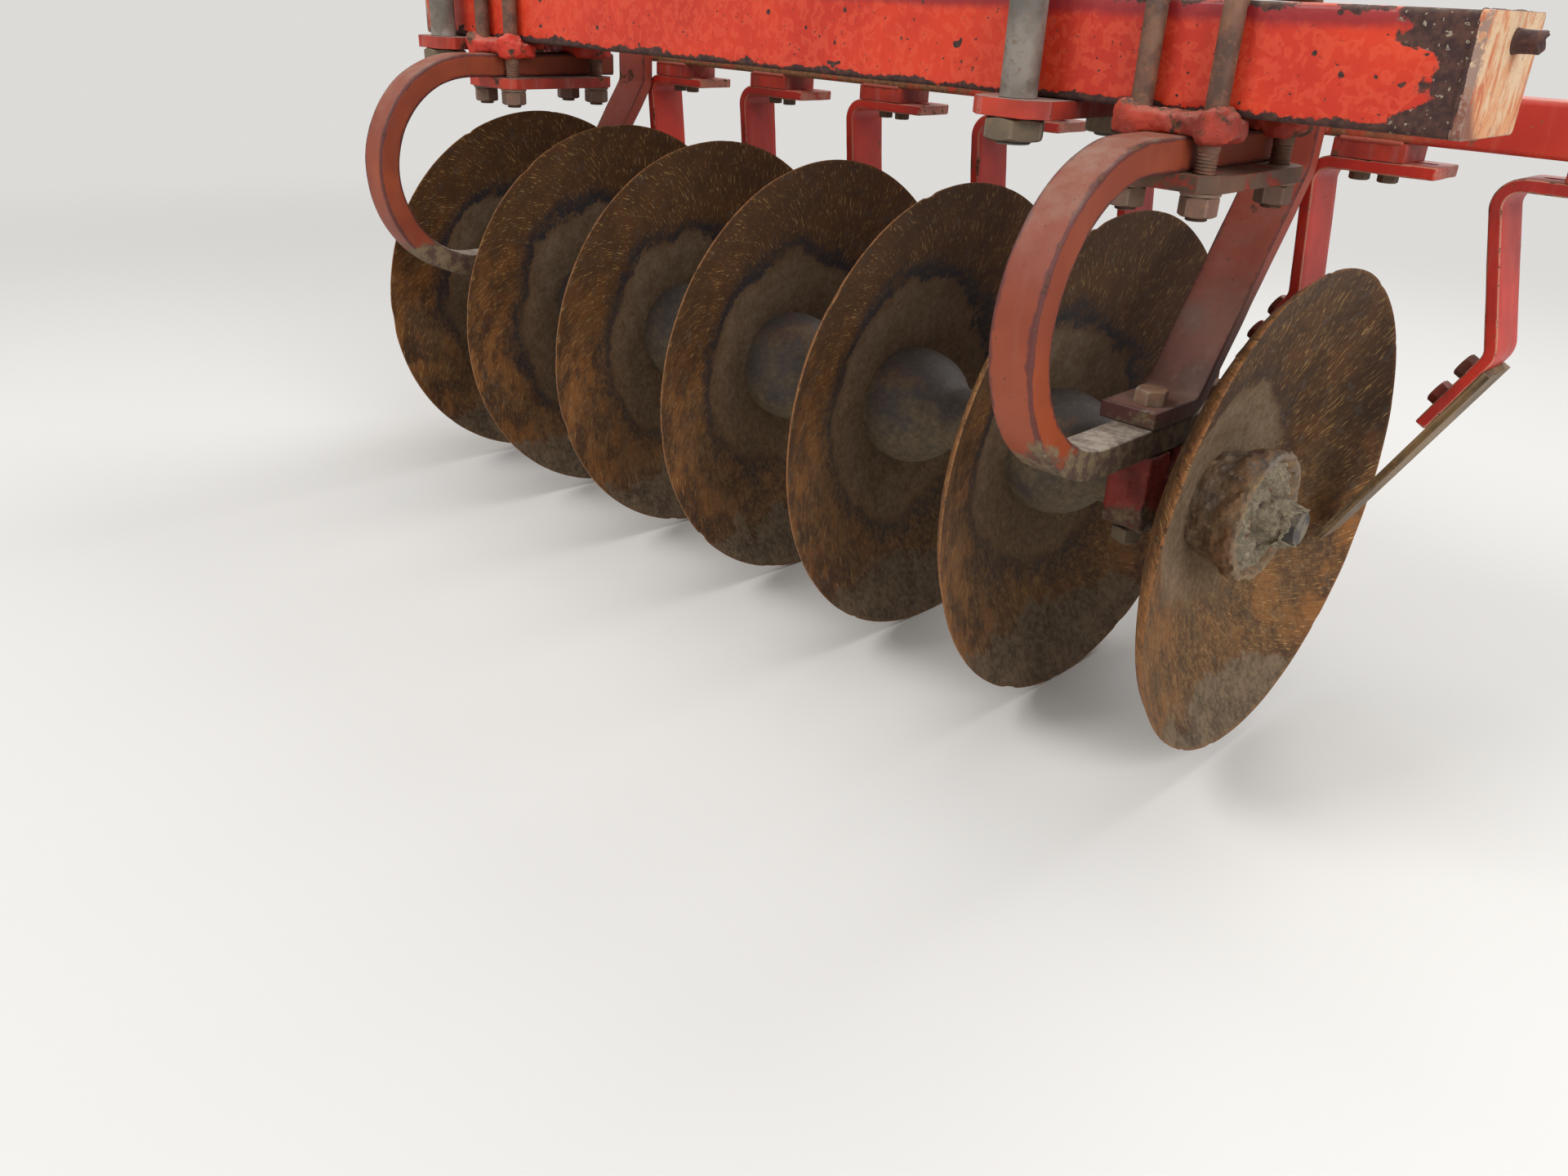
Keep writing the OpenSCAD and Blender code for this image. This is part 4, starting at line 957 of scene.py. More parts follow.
def weldBead(start, end, radius, seed, step=0.0016, sides=14, beadLength=0.0042):
    # a lumpy tube along a line: the beads of the weld are a row of half rings, and its size wanders a little
    start, end = np.asarray(start, float), np.asarray(end, float)
    length = np.linalg.norm(end - start)
    n = max(6, int(length / step))
    t = np.linspace(0, 1, n)
    ahead = (end - start) / length
    side = np.cross(ahead, (0.0, 0.0, 1.0) if abs(ahead[2]) < 0.9 else (1.0, 0.0, 0.0))
    side /= np.linalg.norm(side)
    over = np.cross(ahead, side)
    a = fullTurn(sides)
    bead = np.abs(((t * length / beadLength) % 1.0) - 0.5) * 2
    taper = np.sqrt(np.clip(np.minimum(t, 1 - t) * length / radius, 0.05, 1))
    size = radius * (0.84 + 0.16 * np.sqrt(1 - bead ** 2)) * taper
    centre = start + ahead * (t * length)[:, None]
    size = size + 0.12 * radius * waves(centre, seed, 0.018, 2)
    ring = np.cos(a)[None, :, None] * side + np.sin(a)[None, :, None] * over
    return gridPart(centre[:, None, :] + ring * size[:, None, None])


# Dished discs

dish = {
    "radius": 0.305, "outerRadius": 0.281, "depth": 0.082, "thick": 0.0065, "flat": 0.07646, "hole": 0.0285,
    "edgeWidth": 0.014, "edgeLand": 0.0022, "sides": 240, "wobble": 0.0011, "nick": 0.0022,
}


def ballOf(radius):
    # rise of the ball's centre above the flat, and the ball's radius
    up = (dish["depth"] ** 2 + radius ** 2 - dish["flat"] ** 2) / (2 * dish["depth"])
    return up, math.hypot(up, dish["flat"])


def dishLoop(radius):
    # hole, flat, ball, rim, ground edge, back ball, back flat
    up, ball = ballOf(radius)
    inside = np.concatenate([np.linspace(dish["flat"], radius - 0.012, 44), np.linspace(radius - 0.010, radius, 6)])
    front = np.stack([up - np.sqrt(ball ** 2 - inside ** 2), inside], -1)
    foot = radius - dish["edgeWidth"]
    footZ = up - math.sqrt((ball + dish["thick"]) ** 2 - foot ** 2)
    rimZ = dish["depth"] - dish["edgeLand"]
    t = np.linspace(0, 1, 5)[:, None]
    ground = np.array([rimZ, radius]) * (1 - t) + np.array([footZ, foot]) * t
    backFlat = math.sqrt((ball + dish["thick"]) ** 2 - (up + dish["thick"]) ** 2)
    outside = np.linspace(foot - 0.004, backFlat, 30)
    back = np.stack([up - np.sqrt((ball + dish["thick"]) ** 2 - outside ** 2), outside], -1)
    hub = np.array([(0.0, dish["hole"]), (0.0, 0.052)])
    hubBack = np.array([(-dish["thick"], 0.052), (-dish["thick"], dish["hole"])])
    loop = np.concatenate([hub, front, ground, back, hubBack])
    weight = np.zeros(len(loop))
    n = len(hub) + len(front)
    weight[n - 6:n] = [0.0, 0.05, 0.15, 0.3, 0.6, 0.9]
    weight[n:n + 5] = [1.0, 0.9, 0.75, 0.6, 0.3]
    return loop, weight


def makeDiscs(s):
    # each disc waves a little out of its plane and has small nicks in its rim
    for k in range(1, 8):
        radius = s["outerRadius"] if k == 1 else s["radius"]
        loop, weight = dishLoop(radius)

        def shape(along, r, angle, edge, k=k, radius=radius):
            out = rise(r, radius * 0.45, radius)
            rim = rise(r, radius - 0.017, radius)
            along = along + out * s["wobble"] * ripple(angle, 10 + k, 2, 5)
            dent = np.maximum(0, ripple(angle, 30 + k, 9, 46, 0.25) - 0.62) * 3.2
            chew = np.maximum(0, ripple(angle, 50 + k, 40, 115, 0.2) - 0.35) * 0.5
            r = r - rim * (s["nick"] * np.minimum(1.0, dent) + 0.0006 * chew + 0.0002)
            hammer = waves(aboutX(along, r, angle), 70 + k, 0.13, 2)
            along = along + 0.0004 * out * hammer
            return along, r, edge
        part = turned(loop, s["sides"], weight, shape, discX(k) - s["depth"])
        makePiece("dish%d" % k, [part], "gang", dishSteel, ["disc_%d" % k], 0.9)


# Spools, and what closes the ends of the axle

spool = {
    "bellR": 0.080, "bellRise": 0.026, "neckR": 0.043, "filletR": 0.030, "footR": 0.062,
    "flare": 0.070, "footEdge": 0.014, "bore": 0.028, "gripR": 0.050, "gripLen": 0.016,
    "bearingHalf": 0.033, "shortFoot": 0.009, "sides": 120, "lump": 0.0007,
}


def castShape(seed, lump, size=0.045):
    # a casting's skin: low lumps that only take away
    def shape(along, radius, angle, edge):
        at = aboutX(along, radius, angle)
        return along, radius - lump * (0.55 + 0.45 * waves(at, seed, size, 4)) * rise(radius, 0.03, 0.036), edge
    return shape


def bellCurve(s):
    # from the dish up the bell, round its side and down the fillet to the neck, as (height, radius)
    foot = math.asin(s["bellRise"] / s["bellR"])
    fx = s["neckR"] + s["filletR"]
    fz = s["bellRise"] + math.sqrt((s["bellR"] + s["filletR"]) ** 2 - fx ** 2)
    lean = math.atan2(fz - s["bellRise"], fx)
    a = np.linspace(-foot, lean, 26)
    bell = np.stack([s["bellRise"] + s["bellR"] * np.sin(a), s["bellR"] * np.cos(a)], -1)
    b = np.linspace(math.pi + lean, math.pi, 12)[1:]
    fillet = np.stack([fz + s["filletR"] * np.sin(b), fx + s["filletR"] * np.cos(b)], -1)
    return np.concatenate([bell, fillet])


def makeSpools(s):
    # the bell stands in one dish, the foot or grip ends at the next disc's back or at a bearing
    curve = bellCurve(s)
    full = discPitch - dish["thick"]
    for k in range(2, 6):
        tail = [(full - s["flare"], s["neckR"]), (full - s["footEdge"], s["footR"]), (full, s["footR"]),
                (full, s["bore"]), (0.0, s["bore"])]
        loop, weight = denseLoop(np.concatenate([curve, tail]), 0.006)
        part = turned(loop, s["sides"], weight, castShape(80 + k, s["lump"]), discX(k + 1) - dish["depth"])
        makePiece("spool%d" % k, [part], "gang", castMudIron, ["spool_%d" % k])
    for n, k in enumerate((1, 6)):
        base = discX(k + 1) - dish["depth"]
        long = bearingX[n] - s["bearingHalf"] - base
        tail = [(long - s["gripLen"] - 0.004, s["neckR"]), (long - s["gripLen"], s["gripR"] - 0.001),
                (long - s["gripLen"] + 0.002, s["gripR"]), (long - 0.002, s["gripR"]), (long, s["gripR"] - 0.002),
                (long, s["bore"]), (0.0, s["bore"])]
        loop, weight = denseLoop(np.concatenate([curve, tail]), 0.006)
        bell = turned(loop, s["sides"], weight, castShape(90 + k, s["lump"]), base)
        short = discX(k) - dish["depth"] - dish["thick"] - bearingX[n] - s["bearingHalf"]
        loop, weight = denseLoop([(0.0, s["bore"]), (0.0, s["gripR"]), (short - s["shortFoot"], s["footR"]),
                                  (short, s["footR"]), (short, s["bore"])], 0.006)
        foot = turned(loop, s["sides"], weight, castShape(95 + k, s["lump"]), bearingX[n] + s["bearingHalf"])
        makePiece("bearingSpools" + sideNames[n].title(), [bell, foot], "gang", castMudIron,
                  ["bearing_spools_" + sideNames[n]])


endWasher = {
    "rimR": 0.078, "footR": 0.060, "height": 0.068, "band": 0.012, "floor": 0.034, "wall": 0.009,
    "bore": 0.0275, "mudTop": 0.0630, "mudCone": 0.036, "mudLump": 0.0050, "crust": 0.0018, "sides": 240,
    "mudHole": 0.0196, "mudStep": 0.0065,
}


def makeEndWasher(s):
    # a bucket with a rounded rim and a crust of mud, and the plug of dried soil in it
    inner = s["rimR"] - s["wall"]
    corners = [(0.0, s["bore"]), (0.0, s["footR"]), (s["height"] - s["band"], s["rimR"]),
               (s["height"] - 0.003, s["rimR"]), (s["height"] - 0.0008, s["rimR"] - 0.001),
               (s["height"], s["rimR"] - 0.003), (s["height"], inner + 0.002), (s["height"] - 0.002, inner),
               (s["floor"], s["footR"] - s["wall"]), (s["floor"], s["bore"])]
    loop, weight = denseLoop(corners, 0.0025, [0, 0, 0, 0.5, 1, 1, 0.8, 0.4, 0, 0])
    base = discX(1) - dish["depth"]

    def crusted(along, radius, angle, edge):
        at = aboutX(along, radius, angle)
        lump = waves(at, 101, 0.034, 3) + 0.8 * np.maximum(0, waves(at, 102, 0.012, 3))
        return along, radius + s["crust"] * (lump - 0.7) * rise(radius, 0.050, 0.058), edge
    part = turned(loop, s["sides"], weight, crusted, base)
    makePiece("endWasher", [part], "gang", endMudIron, ["end_washer"])
    wallAt = s["footR"] - s["wall"] + (inner - s["footR"] + s["wall"]) * 0.92
    steep = np.linspace(0, 1, 12)[:-1] ** 1.5
    top = np.concatenate([s["mudHole"] + s["mudStep"] * steep, np.linspace(s["mudHole"] + s["mudStep"], wallAt, 34)])
    cone = s["mudCone"] * (1 - rise(top, 0.0190, 0.0310))
    surface = np.stack([s["mudTop"] + cone - 0.004 * rise(top, 0.045, wallAt), top], -1)
    loop = np.concatenate([[(s["floor"] + 0.001, s["mudHole"])], surface, [(s["floor"] + 0.001, wallAt - 0.012)]])

    def lumpy(along, radius, angle, edge):
        at = aboutX(along, radius, angle)
        lift = s["mudLump"] * (waves(at, 111, 0.030, 4) + 0.6 * np.maximum(0, waves(at, 112, 0.009, 3)))
        spread = 0.0022 * (1 + waves(at, 113, 0.020, 3)) * rise(along, s["mudTop"], s["mudTop"] + 0.006)
        free = rise(radius, 0.0500, wallAt)
        lift = lift * rise(along, s["floor"] + 0.005, s["floor"] + 0.012) * (1 - 0.6 * free)
        return along + lift, radius + spread * (radius > s["mudHole"] + 0.0001), edge
    plug = turned(loop, s["sides"], np.zeros(len(loop)), lumpy, base)
    makePiece("endMud", [plug], "gang", driedMud)


bumper = {"radius": 0.090, "thick": 0.038, "round": 0.014, "bore": 0.0275, "sides": 120}


def makeBumper(s):
    # a thick washer with rounded edges
    a = np.linspace(0, math.pi / 2, 7)
    r, t, c = s["radius"], s["thick"], s["round"]
    first = np.stack([c - c * np.cos(a), r - c + c * np.sin(a)], -1)
    second = np.stack([t - c + c * np.sin(a), r - c + c * np.cos(a)], -1)
    loop, weight = denseLoop(np.concatenate([[(0.0, s["bore"])], first, second, [(t, s["bore"])]]), 0.006)
    x = discX(7) - dish["depth"] - dish["thick"] - t
    part = turned(loop, s["sides"], weight, castShape(121, 0.0008), x)
    makePiece("bumper", [part], "gang", castPaint, ["bumper_washer"])


# Springs and the arms that stand on them

springBar = {
    "width": 0.050, "thick": 0.034, "bend": 0.153, "fore": -0.147, "upperZ": -0.137, "lowerZ": -0.443,
    "upperEnd": 0.132, "lowerEnd": 0.159, "corner": 0.0035,
}


def makeSprings(s):
    # upper run, half circle and lower run, with the skin of a hot rolled bar
    middle = (s["upperZ"] + s["lowerZ"]) / 2
    upper = np.stack([np.linspace(s["upperEnd"], s["fore"], 36), np.full(36, s["upperZ"])], -1)
    a = np.linspace(math.pi / 2, 3 * math.pi / 2, 62)[1:-1]
    bend = np.stack([s["fore"] + s["bend"] * np.cos(a), middle + s["bend"] * np.sin(a)], -1)
    lower = np.stack([np.linspace(s["fore"], s["lowerEnd"], 40), np.full(40, s["lowerZ"])], -1)
    path = np.concatenate([upper, bend, lower])
    section = flatBar(s["width"], s["thick"], s["corner"], 5)
    for n, x in enumerate(bearingX):
        def skin(points, length, n=n):
            return 0.0003 * waves(points, 130 + n, 0.09, 3) - 0.0003
        part = sweep(path, section, x, "yz", 0.002, skin)
        sidePiece(n, "spring", [part], springPaint, "spring_")


armBar = {
    "width": 0.070, "thick": 0.020, "shift": 0.008, "bend": 0.026, "corner": 0.0018,
    "corners": [(-0.061, -0.416), (0.037, -0.416), (0.2045, -0.1675), (0.2045, -0.0775)],
}


def makeArms(s):
    # a foot on the spring, a slanting run and an upright end at the scraper bar
    path = bentPath(s["corners"], s["bend"], 0.012)
    section = flatBar(s["width"], s["thick"], s["corner"], 7)
    for n, x in enumerate(bearingX):
        def skin(points, length, n=n):
            return 0.00025 * waves(points, 140 + n, 0.08, 3) - 0.00025
        part = sweep(path, section, x - s["shift"], "yz", 0.0012, skin)
        sidePiece(n, "scraperArm", [part], armPaint, "scraper_arm_")


# Rods, studs, nuts and bolts

hanger = {
    "offset": 0.040, "y": 0.0814, "radius": 0.011, "bend": 0.0174, "top": 0.0114, "plateTop": -0.154,
    "plate": -0.170, "washer": 0.004, "washerR": 0.020, "nut": 0.020, "across": 0.034, "past": 0.004,
    "pitch": 0.0032, "threadUp": 0.024,
}


def makeHangers(s):
    # a rod over the beam with threads at both ends, a washer and a nut at each end
    low = s["plate"] - s["washer"] - s["nut"] - s["past"]
    corners = [(-s["y"], low), (-s["y"], s["top"]), (s["y"], s["top"]), (s["y"], low)]
    path = bentPath(corners, s["bend"], 0.0007)
    keep = (path[:, 1] < s["plateTop"] + s["threadUp"] + 0.004) | (np.arange(len(path)) % 12 == 0)
    path = path[keep]
    zone = s["plateTop"] + s["threadUp"] - low

    def ends(total):
        return [(0.001, zone), (total - zone, total - 0.001)]
    for n, x in enumerate(bearingX):
        parts = []
        for side in (-1, 1):
            at = x + side * s["offset"]
            grow = threaded(s["radius"], s["pitch"], 0.0017, ends)
            parts.append(sweep(path, roundBar(s["radius"], 32), at, "yz", 0.0015, grow))
            for y in (-s["y"], s["y"]):
                turn = 0.3 + 0.9 * side + 2.0 * (y > 0) + 0.5 * n
                parts.append(hexNut((at, y, 0), s["across"], s["plate"] - s["washer"] - s["nut"],
                                    s["plate"] - s["washer"], turn, s["radius"] - 0.001))
                parts.append(washerRing((at, y), s["radius"], s["washerR"], s["plate"] - s["washer"], s["plate"],
                                        0.0006, 48))
        sidePiece(n, "hangerRods", parts, rodSteel, "hanger_rods_")


def washerRing(place, hole, radius, low, high, cut, sides):
    # a washer with cut edges
    loop = [(low, hole), (low, radius - cut), (low + cut, radius), (high - cut, radius), (high, radius - cut),
            (high, hole)]
    return standing(loop, place, sides, [0, 1, 1, 1, 1, 0])


def standing(loop, place, sides, weight):
    # a closed loop of (height, radius) turned about an upright line at the place
    loop = np.asarray(loop, float)
    a = fullTurn(sides)
    points = np.stack([place[0] + loop[:, 1:2] * np.cos(a), place[1] + loop[:, 1:2] * np.sin(a),
                       np.repeat(loop[:, :1], sides, 1)], -1)
    edge = np.repeat(np.asarray(weight, float)[:, None], sides, 1)
    return gridPart(points, edge, True)


stud = {
    "x": 0.578, "y": 0.098, "radius": 0.020, "thread": 0.0195, "top": 0.140, "threadTop": -0.1018,
    "plate": -0.120, "nut": 0.024, "across": 0.060, "past": 0.004, "pitch": 0.004,
}


def makeStuds(s):
    # a smooth shank over a threaded end with its nut
    low = s["plate"] - s["nut"] - s["past"]
    for n, x in enumerate((s["x"], -s["x"])):
        parts, nuts = [], []
        for y in (-s["y"], s["y"]):
            grow = threaded(s["thread"], s["pitch"], 0.0018, lambda total: [(0.001, 0.0285)])
            parts.append(barUp((x, y), s["thread"], low, s["threadTop"], 0.0007, grow, 40, 0.002))
            parts.append(barUp((x, y), s["radius"], s["threadTop"], s["top"], 0.012, None, 40, 0.0004))
            nuts.append(hexNut((x, y, 0), s["across"], s["plate"] - s["nut"], s["plate"] - 0.0008,
                               math.pi / 6 + 0.05 * n, s["thread"] - 0.001))
        sidePiece(n, "frameStuds", parts, studSteel, "frame_studs_")
        sidePiece(n, "studNuts", nuts, nutSteel, "frame_studs_")


housingBolt = {
    "gap": 0.076, "radius": 0.010, "foot": -0.554, "head": 0.017, "across": 0.033, "past": 0.005,
    "tops": (-0.406, -0.426),
}


def makeHousingBolts(s):
    # a head under each ear and a nut on the arm's foot in front, on the spring behind
    for n, x in enumerate(bearingX):
        parts, tops = [], []
        for side, top in zip((-1, 1), s["tops"]):
            y = axleY + side * s["gap"]
            low = s["foot"] - s["head"]
            parts.append(barUp((x, y), s["radius"], low - s["past"], top + 0.004, 0.02, None, 24, 0.0015))
            parts.append(hexNut((x, y, 0), s["across"], low, s["foot"], 0.4 * side, s["radius"] - 0.001))
            tops.append(hexNut((x, y, 0), s["across"], top, top + s["head"], 0.25 + 0.5 * side + n, 0.0,
                               (0, 0, 1), 1.3, 0.3))
        sidePiece(n, "housingBolts", parts, nutSteel, "housing_bolts_")
        sidePiece(n, "housingNuts", tops, dustyBolt, "housing_bolts_")


# Castings: the saddles that grip the beam, and the bearing housings

saddle = {
    "half": 0.0670, "endRound": 0.021, "under": -0.028, "side": 0.070, "low": -0.1198, "seat": -0.1022,
    "waist": 0.0300, "lobe": 0.0105, "lobeAt": 0.0435, "lobeWide": 0.0150, "top": -0.0985, "crown": 0.0075,
    "crownAt": 0.050, "crownWide": 0.013, "lug": 0.0060, "lump": 0.0011, "pit": 0.0006,
}


def saddleGrid(s, seed):
    # rows of soft sections across a dog bone: its outer side and its top swell at the rods, its underside has
    # a lug at each side of the spring, and its ends close like a ball
    x = s["half"] * np.sin(np.linspace(-math.pi / 2, math.pi / 2, 76))
    far = np.abs(x)
    out = s["waist"] + s["lobe"] * np.exp(-((far - s["lobeAt"]) / s["lobeWide"]) ** 2)
    top = s["top"] + s["crown"] * np.exp(-((far - s["crownAt"]) / s["crownWide"]) ** 2)
    low = s["low"] - s["lug"] * rise(far, 0.0275, 0.036)
    side, seat = s["side"], s["seat"]
    spots = [(side + s["under"], low), (side + out - 0.003, low), (side + out, top - 0.004),
             (side + out - 0.012, top), (side + 0.0006, top), (side + 0.0006, seat), (side + s["under"], seat)]
    corners = np.stack([np.stack(np.broadcast_arrays(y, z, x)[:2], -1) for y, z in spots], 1)
    loops = softLoops(corners, [26, 9, 6, 9, 3, 10, 7], 7)
    end = np.sqrt(np.clip(1 - ((far - (s["half"] - s["endRound"])) / s["endRound"]).clip(0, 1) ** 2, 0.02, 1))
    middle = np.array([side + 0.010, -0.109])
    shrink = np.stack([end, end ** 0.6], -1)[:, None, :]
    loops = middle + (loops - middle) * shrink
    grid = np.concatenate([np.repeat(x[:, None], loops.shape[1], 1)[..., None], loops], -1)
    rough = s["lump"] * waves(grid, seed, 0.034, 3) + s["pit"] * waves(grid, seed + 1, 0.009, 2)
    return grown(grid, rough * rise(end, 0.2, 0.6)[:, None])


def makeSaddles(s):
    # the saddle behind the beam is the one in front turned half round
    for n, x in enumerate(bearingX):
        parts = []
        for k, flip in enumerate((1, -1)):
            grid = saddleGrid(s, 150 + 10 * n + 3 * k) * (flip, flip, 1) + (x, 0, 0)
            parts.append(gridPart(grid))
        sidePiece(n, "saddles", parts, (castPaint, freshCast)[n], "saddles_", 1.2)


housing = {"cell": 0.0026, "melt": 5, "lump": 0.0022, "size": 0.032, "pit": 0.0008, "bore": 0.046}


def makeHousings(s):
    # the node's solid is melted into one skin of small cells; low lumps and pits then take away from it,
    # but not near the bore
    for n, name in enumerate(sideNames):
        node = "bearing_housing_" + name
        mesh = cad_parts[node].data.copy()
        shell = bmesh.new()
        shell.from_mesh(mesh)
        bmesh.ops.remove_doubles(shell, verts=shell.verts, dist=0.00001)
        shell.to_mesh(mesh)
        shell.free()
        ob = bpy.data.objects.new("housing" + name.title(), mesh)
        scene.collection.objects.link(ob)
        cells = ob.modifiers.new("cells", "REMESH")
        cells.mode = "VOXEL"
        cells.voxel_size = s["cell"]
        melt = ob.modifiers.new("melt", "SMOOTH")
        melt.factor = 0.5
        melt.iterations = s["melt"]
        mesh = applied(ob)
        count = len(mesh.vertices)
        points, normals = np.empty(count * 3, np.float32), np.empty(count * 3, np.float32)
        mesh.vertices.foreach_get("co", points)
        mesh.vertex_normals.foreach_get("vector", normals)
        points, normals = points.reshape(-1, 3).astype(float), normals.reshape(-1, 3)
        away = rise(np.hypot(points[:, 1] - axleY, points[:, 2] - axleZ), s["bore"], s["bore"] + 0.008)
        depth = s["lump"] * (0.5 + 0.5 * waves(points, 170 + n, s["size"], 3)) + s["pit"] * np.maximum(
            0, waves(points, 175 + n, 0.010, 2))
        points = points - normals * (depth * away)[:, None]
        mesh.vertices.foreach_set("co", points.astype(np.float32).ravel())
        mesh.polygons.foreach_set("use_smooth", np.ones(len(mesh.polygons), dtype=bool))
        mesh.materials.clear()
        mesh.materials.append(housingPaint)
        mesh.update()
        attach(ob, "carrier")
        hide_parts(node)


# The beam, the stub of a pin in its end cap, and the welds

beam = {
    "from": -0.6685, "to": 1.0035, "depth": 0.140, "height": 0.102, "corner": 0.006, "wave": 0.00035,
    "weld": 0.0034, "weldIn": 0.0026, "pin": (1.013, 0.004, -0.0235), "pinR": 0.0098, "pinOut": 0.023,
    "pinNotch": 0.0025,
}


def makeBeam(s):
    # a rolled box section with faint waves in its sides, and a ground weld round each end cap
    n = 170
    path = np.stack([np.linspace(s["from"], s["to"], n), np.full(n, -s["height"] / 2)], -1)

    def skin(points, length):
        return s["wave"] * (waves(points, 181, 0.16, 3) - 1.0)
    part = sweep(path, flatBar(s["depth"], s["height"], s["corner"], 11), 0.0, "xz", 0.0006, skin)
    makePiece("beam", [part], "carrier", beamPaint, ["gang_beam"])
    y, r = s["depth"] / 2 - s["weldIn"], s["weld"]
    z = (-s["weldIn"], -s["height"] + s["weldIn"])
    beads = []
    for k, x in enumerate((s["from"], s["to"])):
        beads += [weldBead((x, -y, z[1] + r), (x, -y, z[0] - r), r, 190 + k),
                  weldBead((x, y, z[1] + r), (x, y, z[0] - r), r, 192 + k),
                  weldBead((x, -y + r, z[0]), (x, y - r, z[0]), r, 194 + k),
                  weldBead((x, -y + r, z[1]), (x, y - r, z[1]), r, 196 + k)]
    makePiece("beamWelds", beads, "carrier", beamPaint, angle=1.5)
    # a stub of a pin with a torn, hollow end
    place, out = s["pin"], s["pinOut"]
    reach = np.array([-0.002, -0.001, 0.006, 0.012, 0.018, out - 0.003, out - 0.001, out, out - 0.0008, out - 0.003])
    size = s["pinR"] * np.array([1.25, 1.12, 1.0, 0.98, 0.97, 1.0, 0.98, 0.90, 0.72, 0.12])
    a = fullTurn(40)[None, :]
    torn = s["pinNotch"] * ripple(a, 198, 1, 9, 0.5) * (np.arange(10) > 4)[:, None]
    grid = np.stack([place[0] + reach[:, None] + torn, place[1] + size[:, None] * np.cos(a),
                     place[2] + size[:, None] * np.sin(a)], -1)
    makePiece("endPin", [gridPart(grid)], "carrier", pinRust)


barWeld = {"y": 0.2145, "low": -0.1325, "high": -0.0775, "armHalf": 0.0352, "armShift": 0.008, "blockHalf": 0.040,
           "blockOut": 0.175, "blockBack": 0.2695, "blockIn": 0.004, "radius": 0.0034}


def makeBarWelds(s):
    # upright beads where the arms meet the scraper bar, level ones under the bar at the clamp blocks
    beads = []
    for n, x in enumerate(bearingX):
        for side in (-1, 1):
            at = x - s["armShift"] + side * s["armHalf"]
            beads.append(weldBead((at, s["y"] - 0.001, s["low"] + 0.002), (at, s["y"] - 0.001, s["high"] - 0.003),
                                  s["radius"], 200 + 2 * n + side))
    for k in range(1, 8):
        x = discX(k) + s["blockOut"]
        half = s["blockHalf"] - s["blockIn"]
        for y, seed in ((s["y"] + 0.0012, 210 + k), (s["blockBack"], 220 + k)):
            beads.append(weldBead((x - half, y, s["low"]), (x + half, y, s["low"]), s["radius"] * 0.85, seed))
    makePiece("barWelds", beads, "carrier", armPaint, angle=1.5)


# Scrapers: bent shanks with a slot, and their bolts

shank = {
    "y": 0.2500, "width": 0.070, "thick": 0.014, "bend": 0.022, "corner": 0.0022, "z": -0.1595,
    "out": (0.116, 0.129), "kink": (-0.336, -0.312), "lean": (14.0, 6.0), "kinkAngle": 29.0, "lower": 0.104,
    "upper": 0.138, "slotStart": 0.034, "slotEnd": 0.010, "slotR": 0.007, "block": 0.175, "boltHalf": 0.016,
    "boltR": 0.006, "across": 0.020, "head": 0.008, "washerR": 0.013, "washer": 0.003, "boltTop": -0.1345,
    "bladeBolts": (0.034, 0.074), "bladeAcross": 0.025, "bladeHead": 0.0135,
}


def slotCutter(low, high, y, radius, zLow, zHigh):
    # an upright block with round ends, from low to high along x
    a = np.linspace(-math.pi / 2, math.pi / 2, 17)
    ring = np.concatenate([np.stack([high - radius + radius * np.cos(a), y + radius * np.sin(a)], -1),
                           np.stack([low + radius - radius * np.cos(a), y - radius * np.sin(a)], -1)])
    n = len(ring)
    points = np.concatenate([np.column_stack([ring, np.full(n, z)]) for z in (zLow, zHigh)])
    faces = [tuple(range(n))[::-1], tuple(range(n, 2 * n))]
    faces += [(i, (i + 1) % n, n + (i + 1) % n, n + i) for i in range(n)]
    mesh = bpy.data.meshes.new("slotCutter")
    mesh.from_pydata(points.tolist(), [], faces)
    ob = bpy.data.objects.new("slotCutter", mesh)
    scene.collection.objects.link(ob)
    return ob


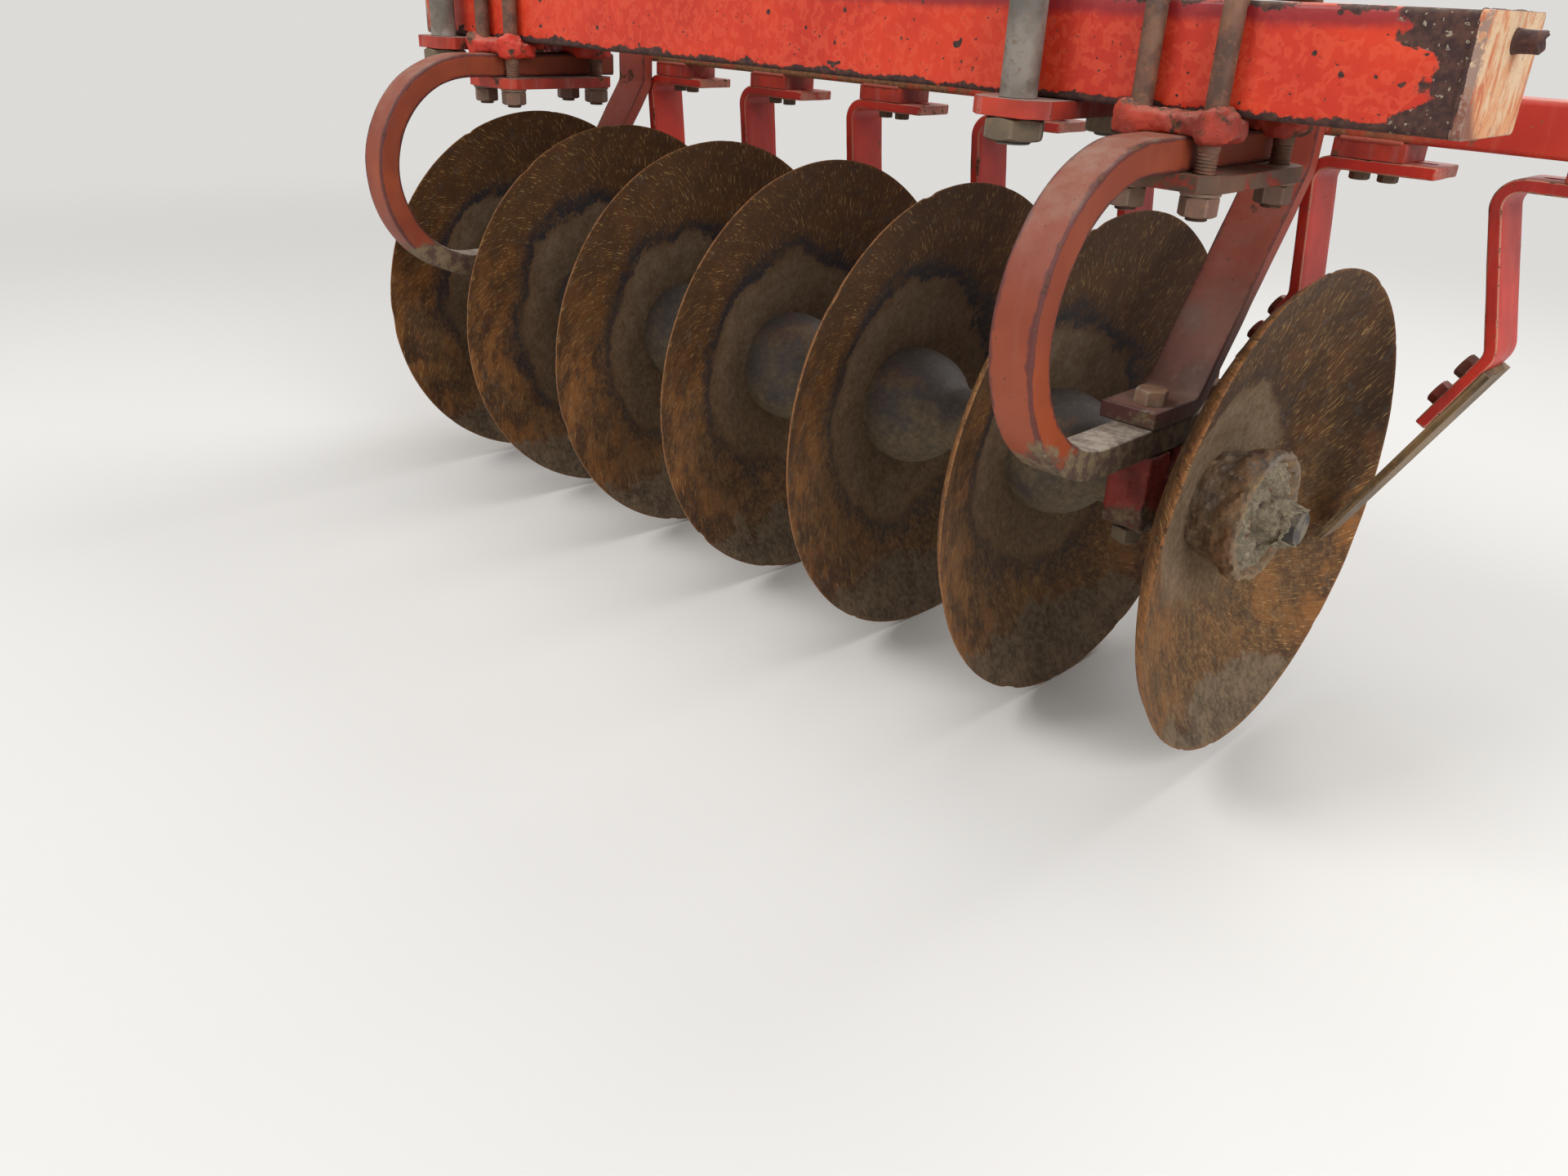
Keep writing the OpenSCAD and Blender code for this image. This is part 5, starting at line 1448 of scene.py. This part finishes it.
def makeShanks(s):
    # a flat bar along foot, kink, bend and end, with the slot for its clamp bolts cut through its level run
    boltParts, redParts = [], []
    for k in range(1, 8):
        j = 0 if k == 1 else 1
        kink = np.array([discX(k) + s["out"][j], s["kink"][j]])
        a = math.radians(s["kinkAngle"])
        down = -np.array([math.sin(a), math.cos(a)])
        bendX = kink[0] - (s["z"] - kink[1]) * math.tan(math.radians(s["lean"][j]))
        blockX = discX(k) + s["block"]
        end = max(bendX + s["upper"], blockX + s["boltHalf"] + s["slotR"] + s["slotEnd"])
        slotFrom = min(bendX + s["slotStart"], blockX - s["boltHalf"] - s["slotR"])
        path = bentPath([kink + down * s["lower"], kink, (bendX, s["z"]), (end, s["z"])], s["bend"], 0.012)

        def skin(points, length, k=k):
            return 0.0002 * waves(points, 230 + k, 0.07, 3) - 0.0002
        part = sweep(path, flatBar(s["width"], s["thick"], s["corner"], 5), s["y"], "xz", 0.0012, skin)
        ob = makePiece("scraperShank%d" % k, [part], "carrier", shankPaint, ["scraper_shank_%d" % k])
        cutter = slotCutter(slotFrom, end - s["slotEnd"], s["y"], s["slotR"], s["z"] - 0.02, s["z"] + 0.02)
        cut = ob.modifiers.new("slot", "BOOLEAN")
        cut.operation = "DIFFERENCE"
        cut.solver = "EXACT"
        cut.object = cutter
        mesh = applied(ob)
        mesh.set_sharp_from_angle(angle=0.6)
        bpy.data.objects.remove(cutter)
        seat = s["z"] - s["thick"] / 2
        for side in (-1, 1):
            at = (blockX + side * s["boltHalf"], s["y"])
            boltParts += [washerRing(at, 0.005, s["washerR"], seat - s["washer"], seat, 0.0005, 40),
                          barUp(at, s["boltR"], seat - s["washer"] - 0.002, s["boltTop"], 0.01, None, 20, 0.001),
                          hexNut((*at, 0), s["across"], seat - s["washer"] - s["head"], seat - s["washer"],
                                 1.1 * k + side, 0.0, (0, 0, 1), 0.3, 1.2)]
        back = np.array([-math.cos(a), math.sin(a)])
        for place in s["bladeBolts"]:
            spot = kink + down * place + back * (s["thick"] / 2 - 0.0005)
            redParts.append(hexNut((spot[0], s["y"], spot[1]), s["bladeAcross"], 0.0, s["bladeHead"],
                                   0.7 * k + 20 * place, 0.0, (back[0], 0, back[1]), 1.3, 0.2))
    makePiece("scraperBolts", boltParts, "carrier", nutSteel, ["scraper_bolts"])
    makePiece("bladeBolts", redParts, "carrier", redBolt)


makeDiscs(dish)
print("discs are dished")
makeSpools(spool)
makeEndWasher(endWasher)
makeBumper(bumper)
print("spools and washers are turned")
makeSprings(springBar)
makeArms(armBar)
print("springs and arms are bent")
makeHangers(hanger)
makeStuds(stud)
makeHousingBolts(housingBolt)
print("rods, studs and bolts are threaded")
makeSaddles(saddle)
makeHousings(housing)
print("saddles and housings are cast")
makeBeam(beam)
makeBarWelds(barWeld)
makeShanks(shank)
print("beam is welded and shanks are bent")


# Finishes on the nodes that stay as they are

finishOf = {
    "gang_beam": beamPaint, "beam_caps": capPaint, "scraper_bar": barPaint, "spring_": springPaint,
    "saddles_": castPaint, "hanger_rods_": rodSteel, "hanger_plate_outer": hangerPaint,
    "hanger_plate_inner": platePaint, "frame_studs_": studSteel,
    "clamp_plate_": platePaint, "bearing_housing_": housingPaint, "housing_bolts_": nutSteel,
    "scraper_arm_": armPaint, "scraper_blocks": platePaint, "scraper_bolts": nutSteel,
    "scraper_shank_": shankPaint, "scraper_blades": bladeSteel,
    "axle": axleSteel, "axle_nut": rodSteel, "end_washer": castMudIron, "bumper_washer": castPaint,
    "disc_": dishSteel, "spool_": castMudIron, "bearing_spools_": castMudIron, "bearing_": rodSteel,
}


def finishFor(name):
    # the longest key that starts the node's name wins
    return finishOf[max((k for k in finishOf if name.startswith(k)), key=len)]


for nodeName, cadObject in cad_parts.items():
    for place in cadObject.material_slots:
        place.material = finishFor(nodeName)
print("finishes are on the cad nodes")
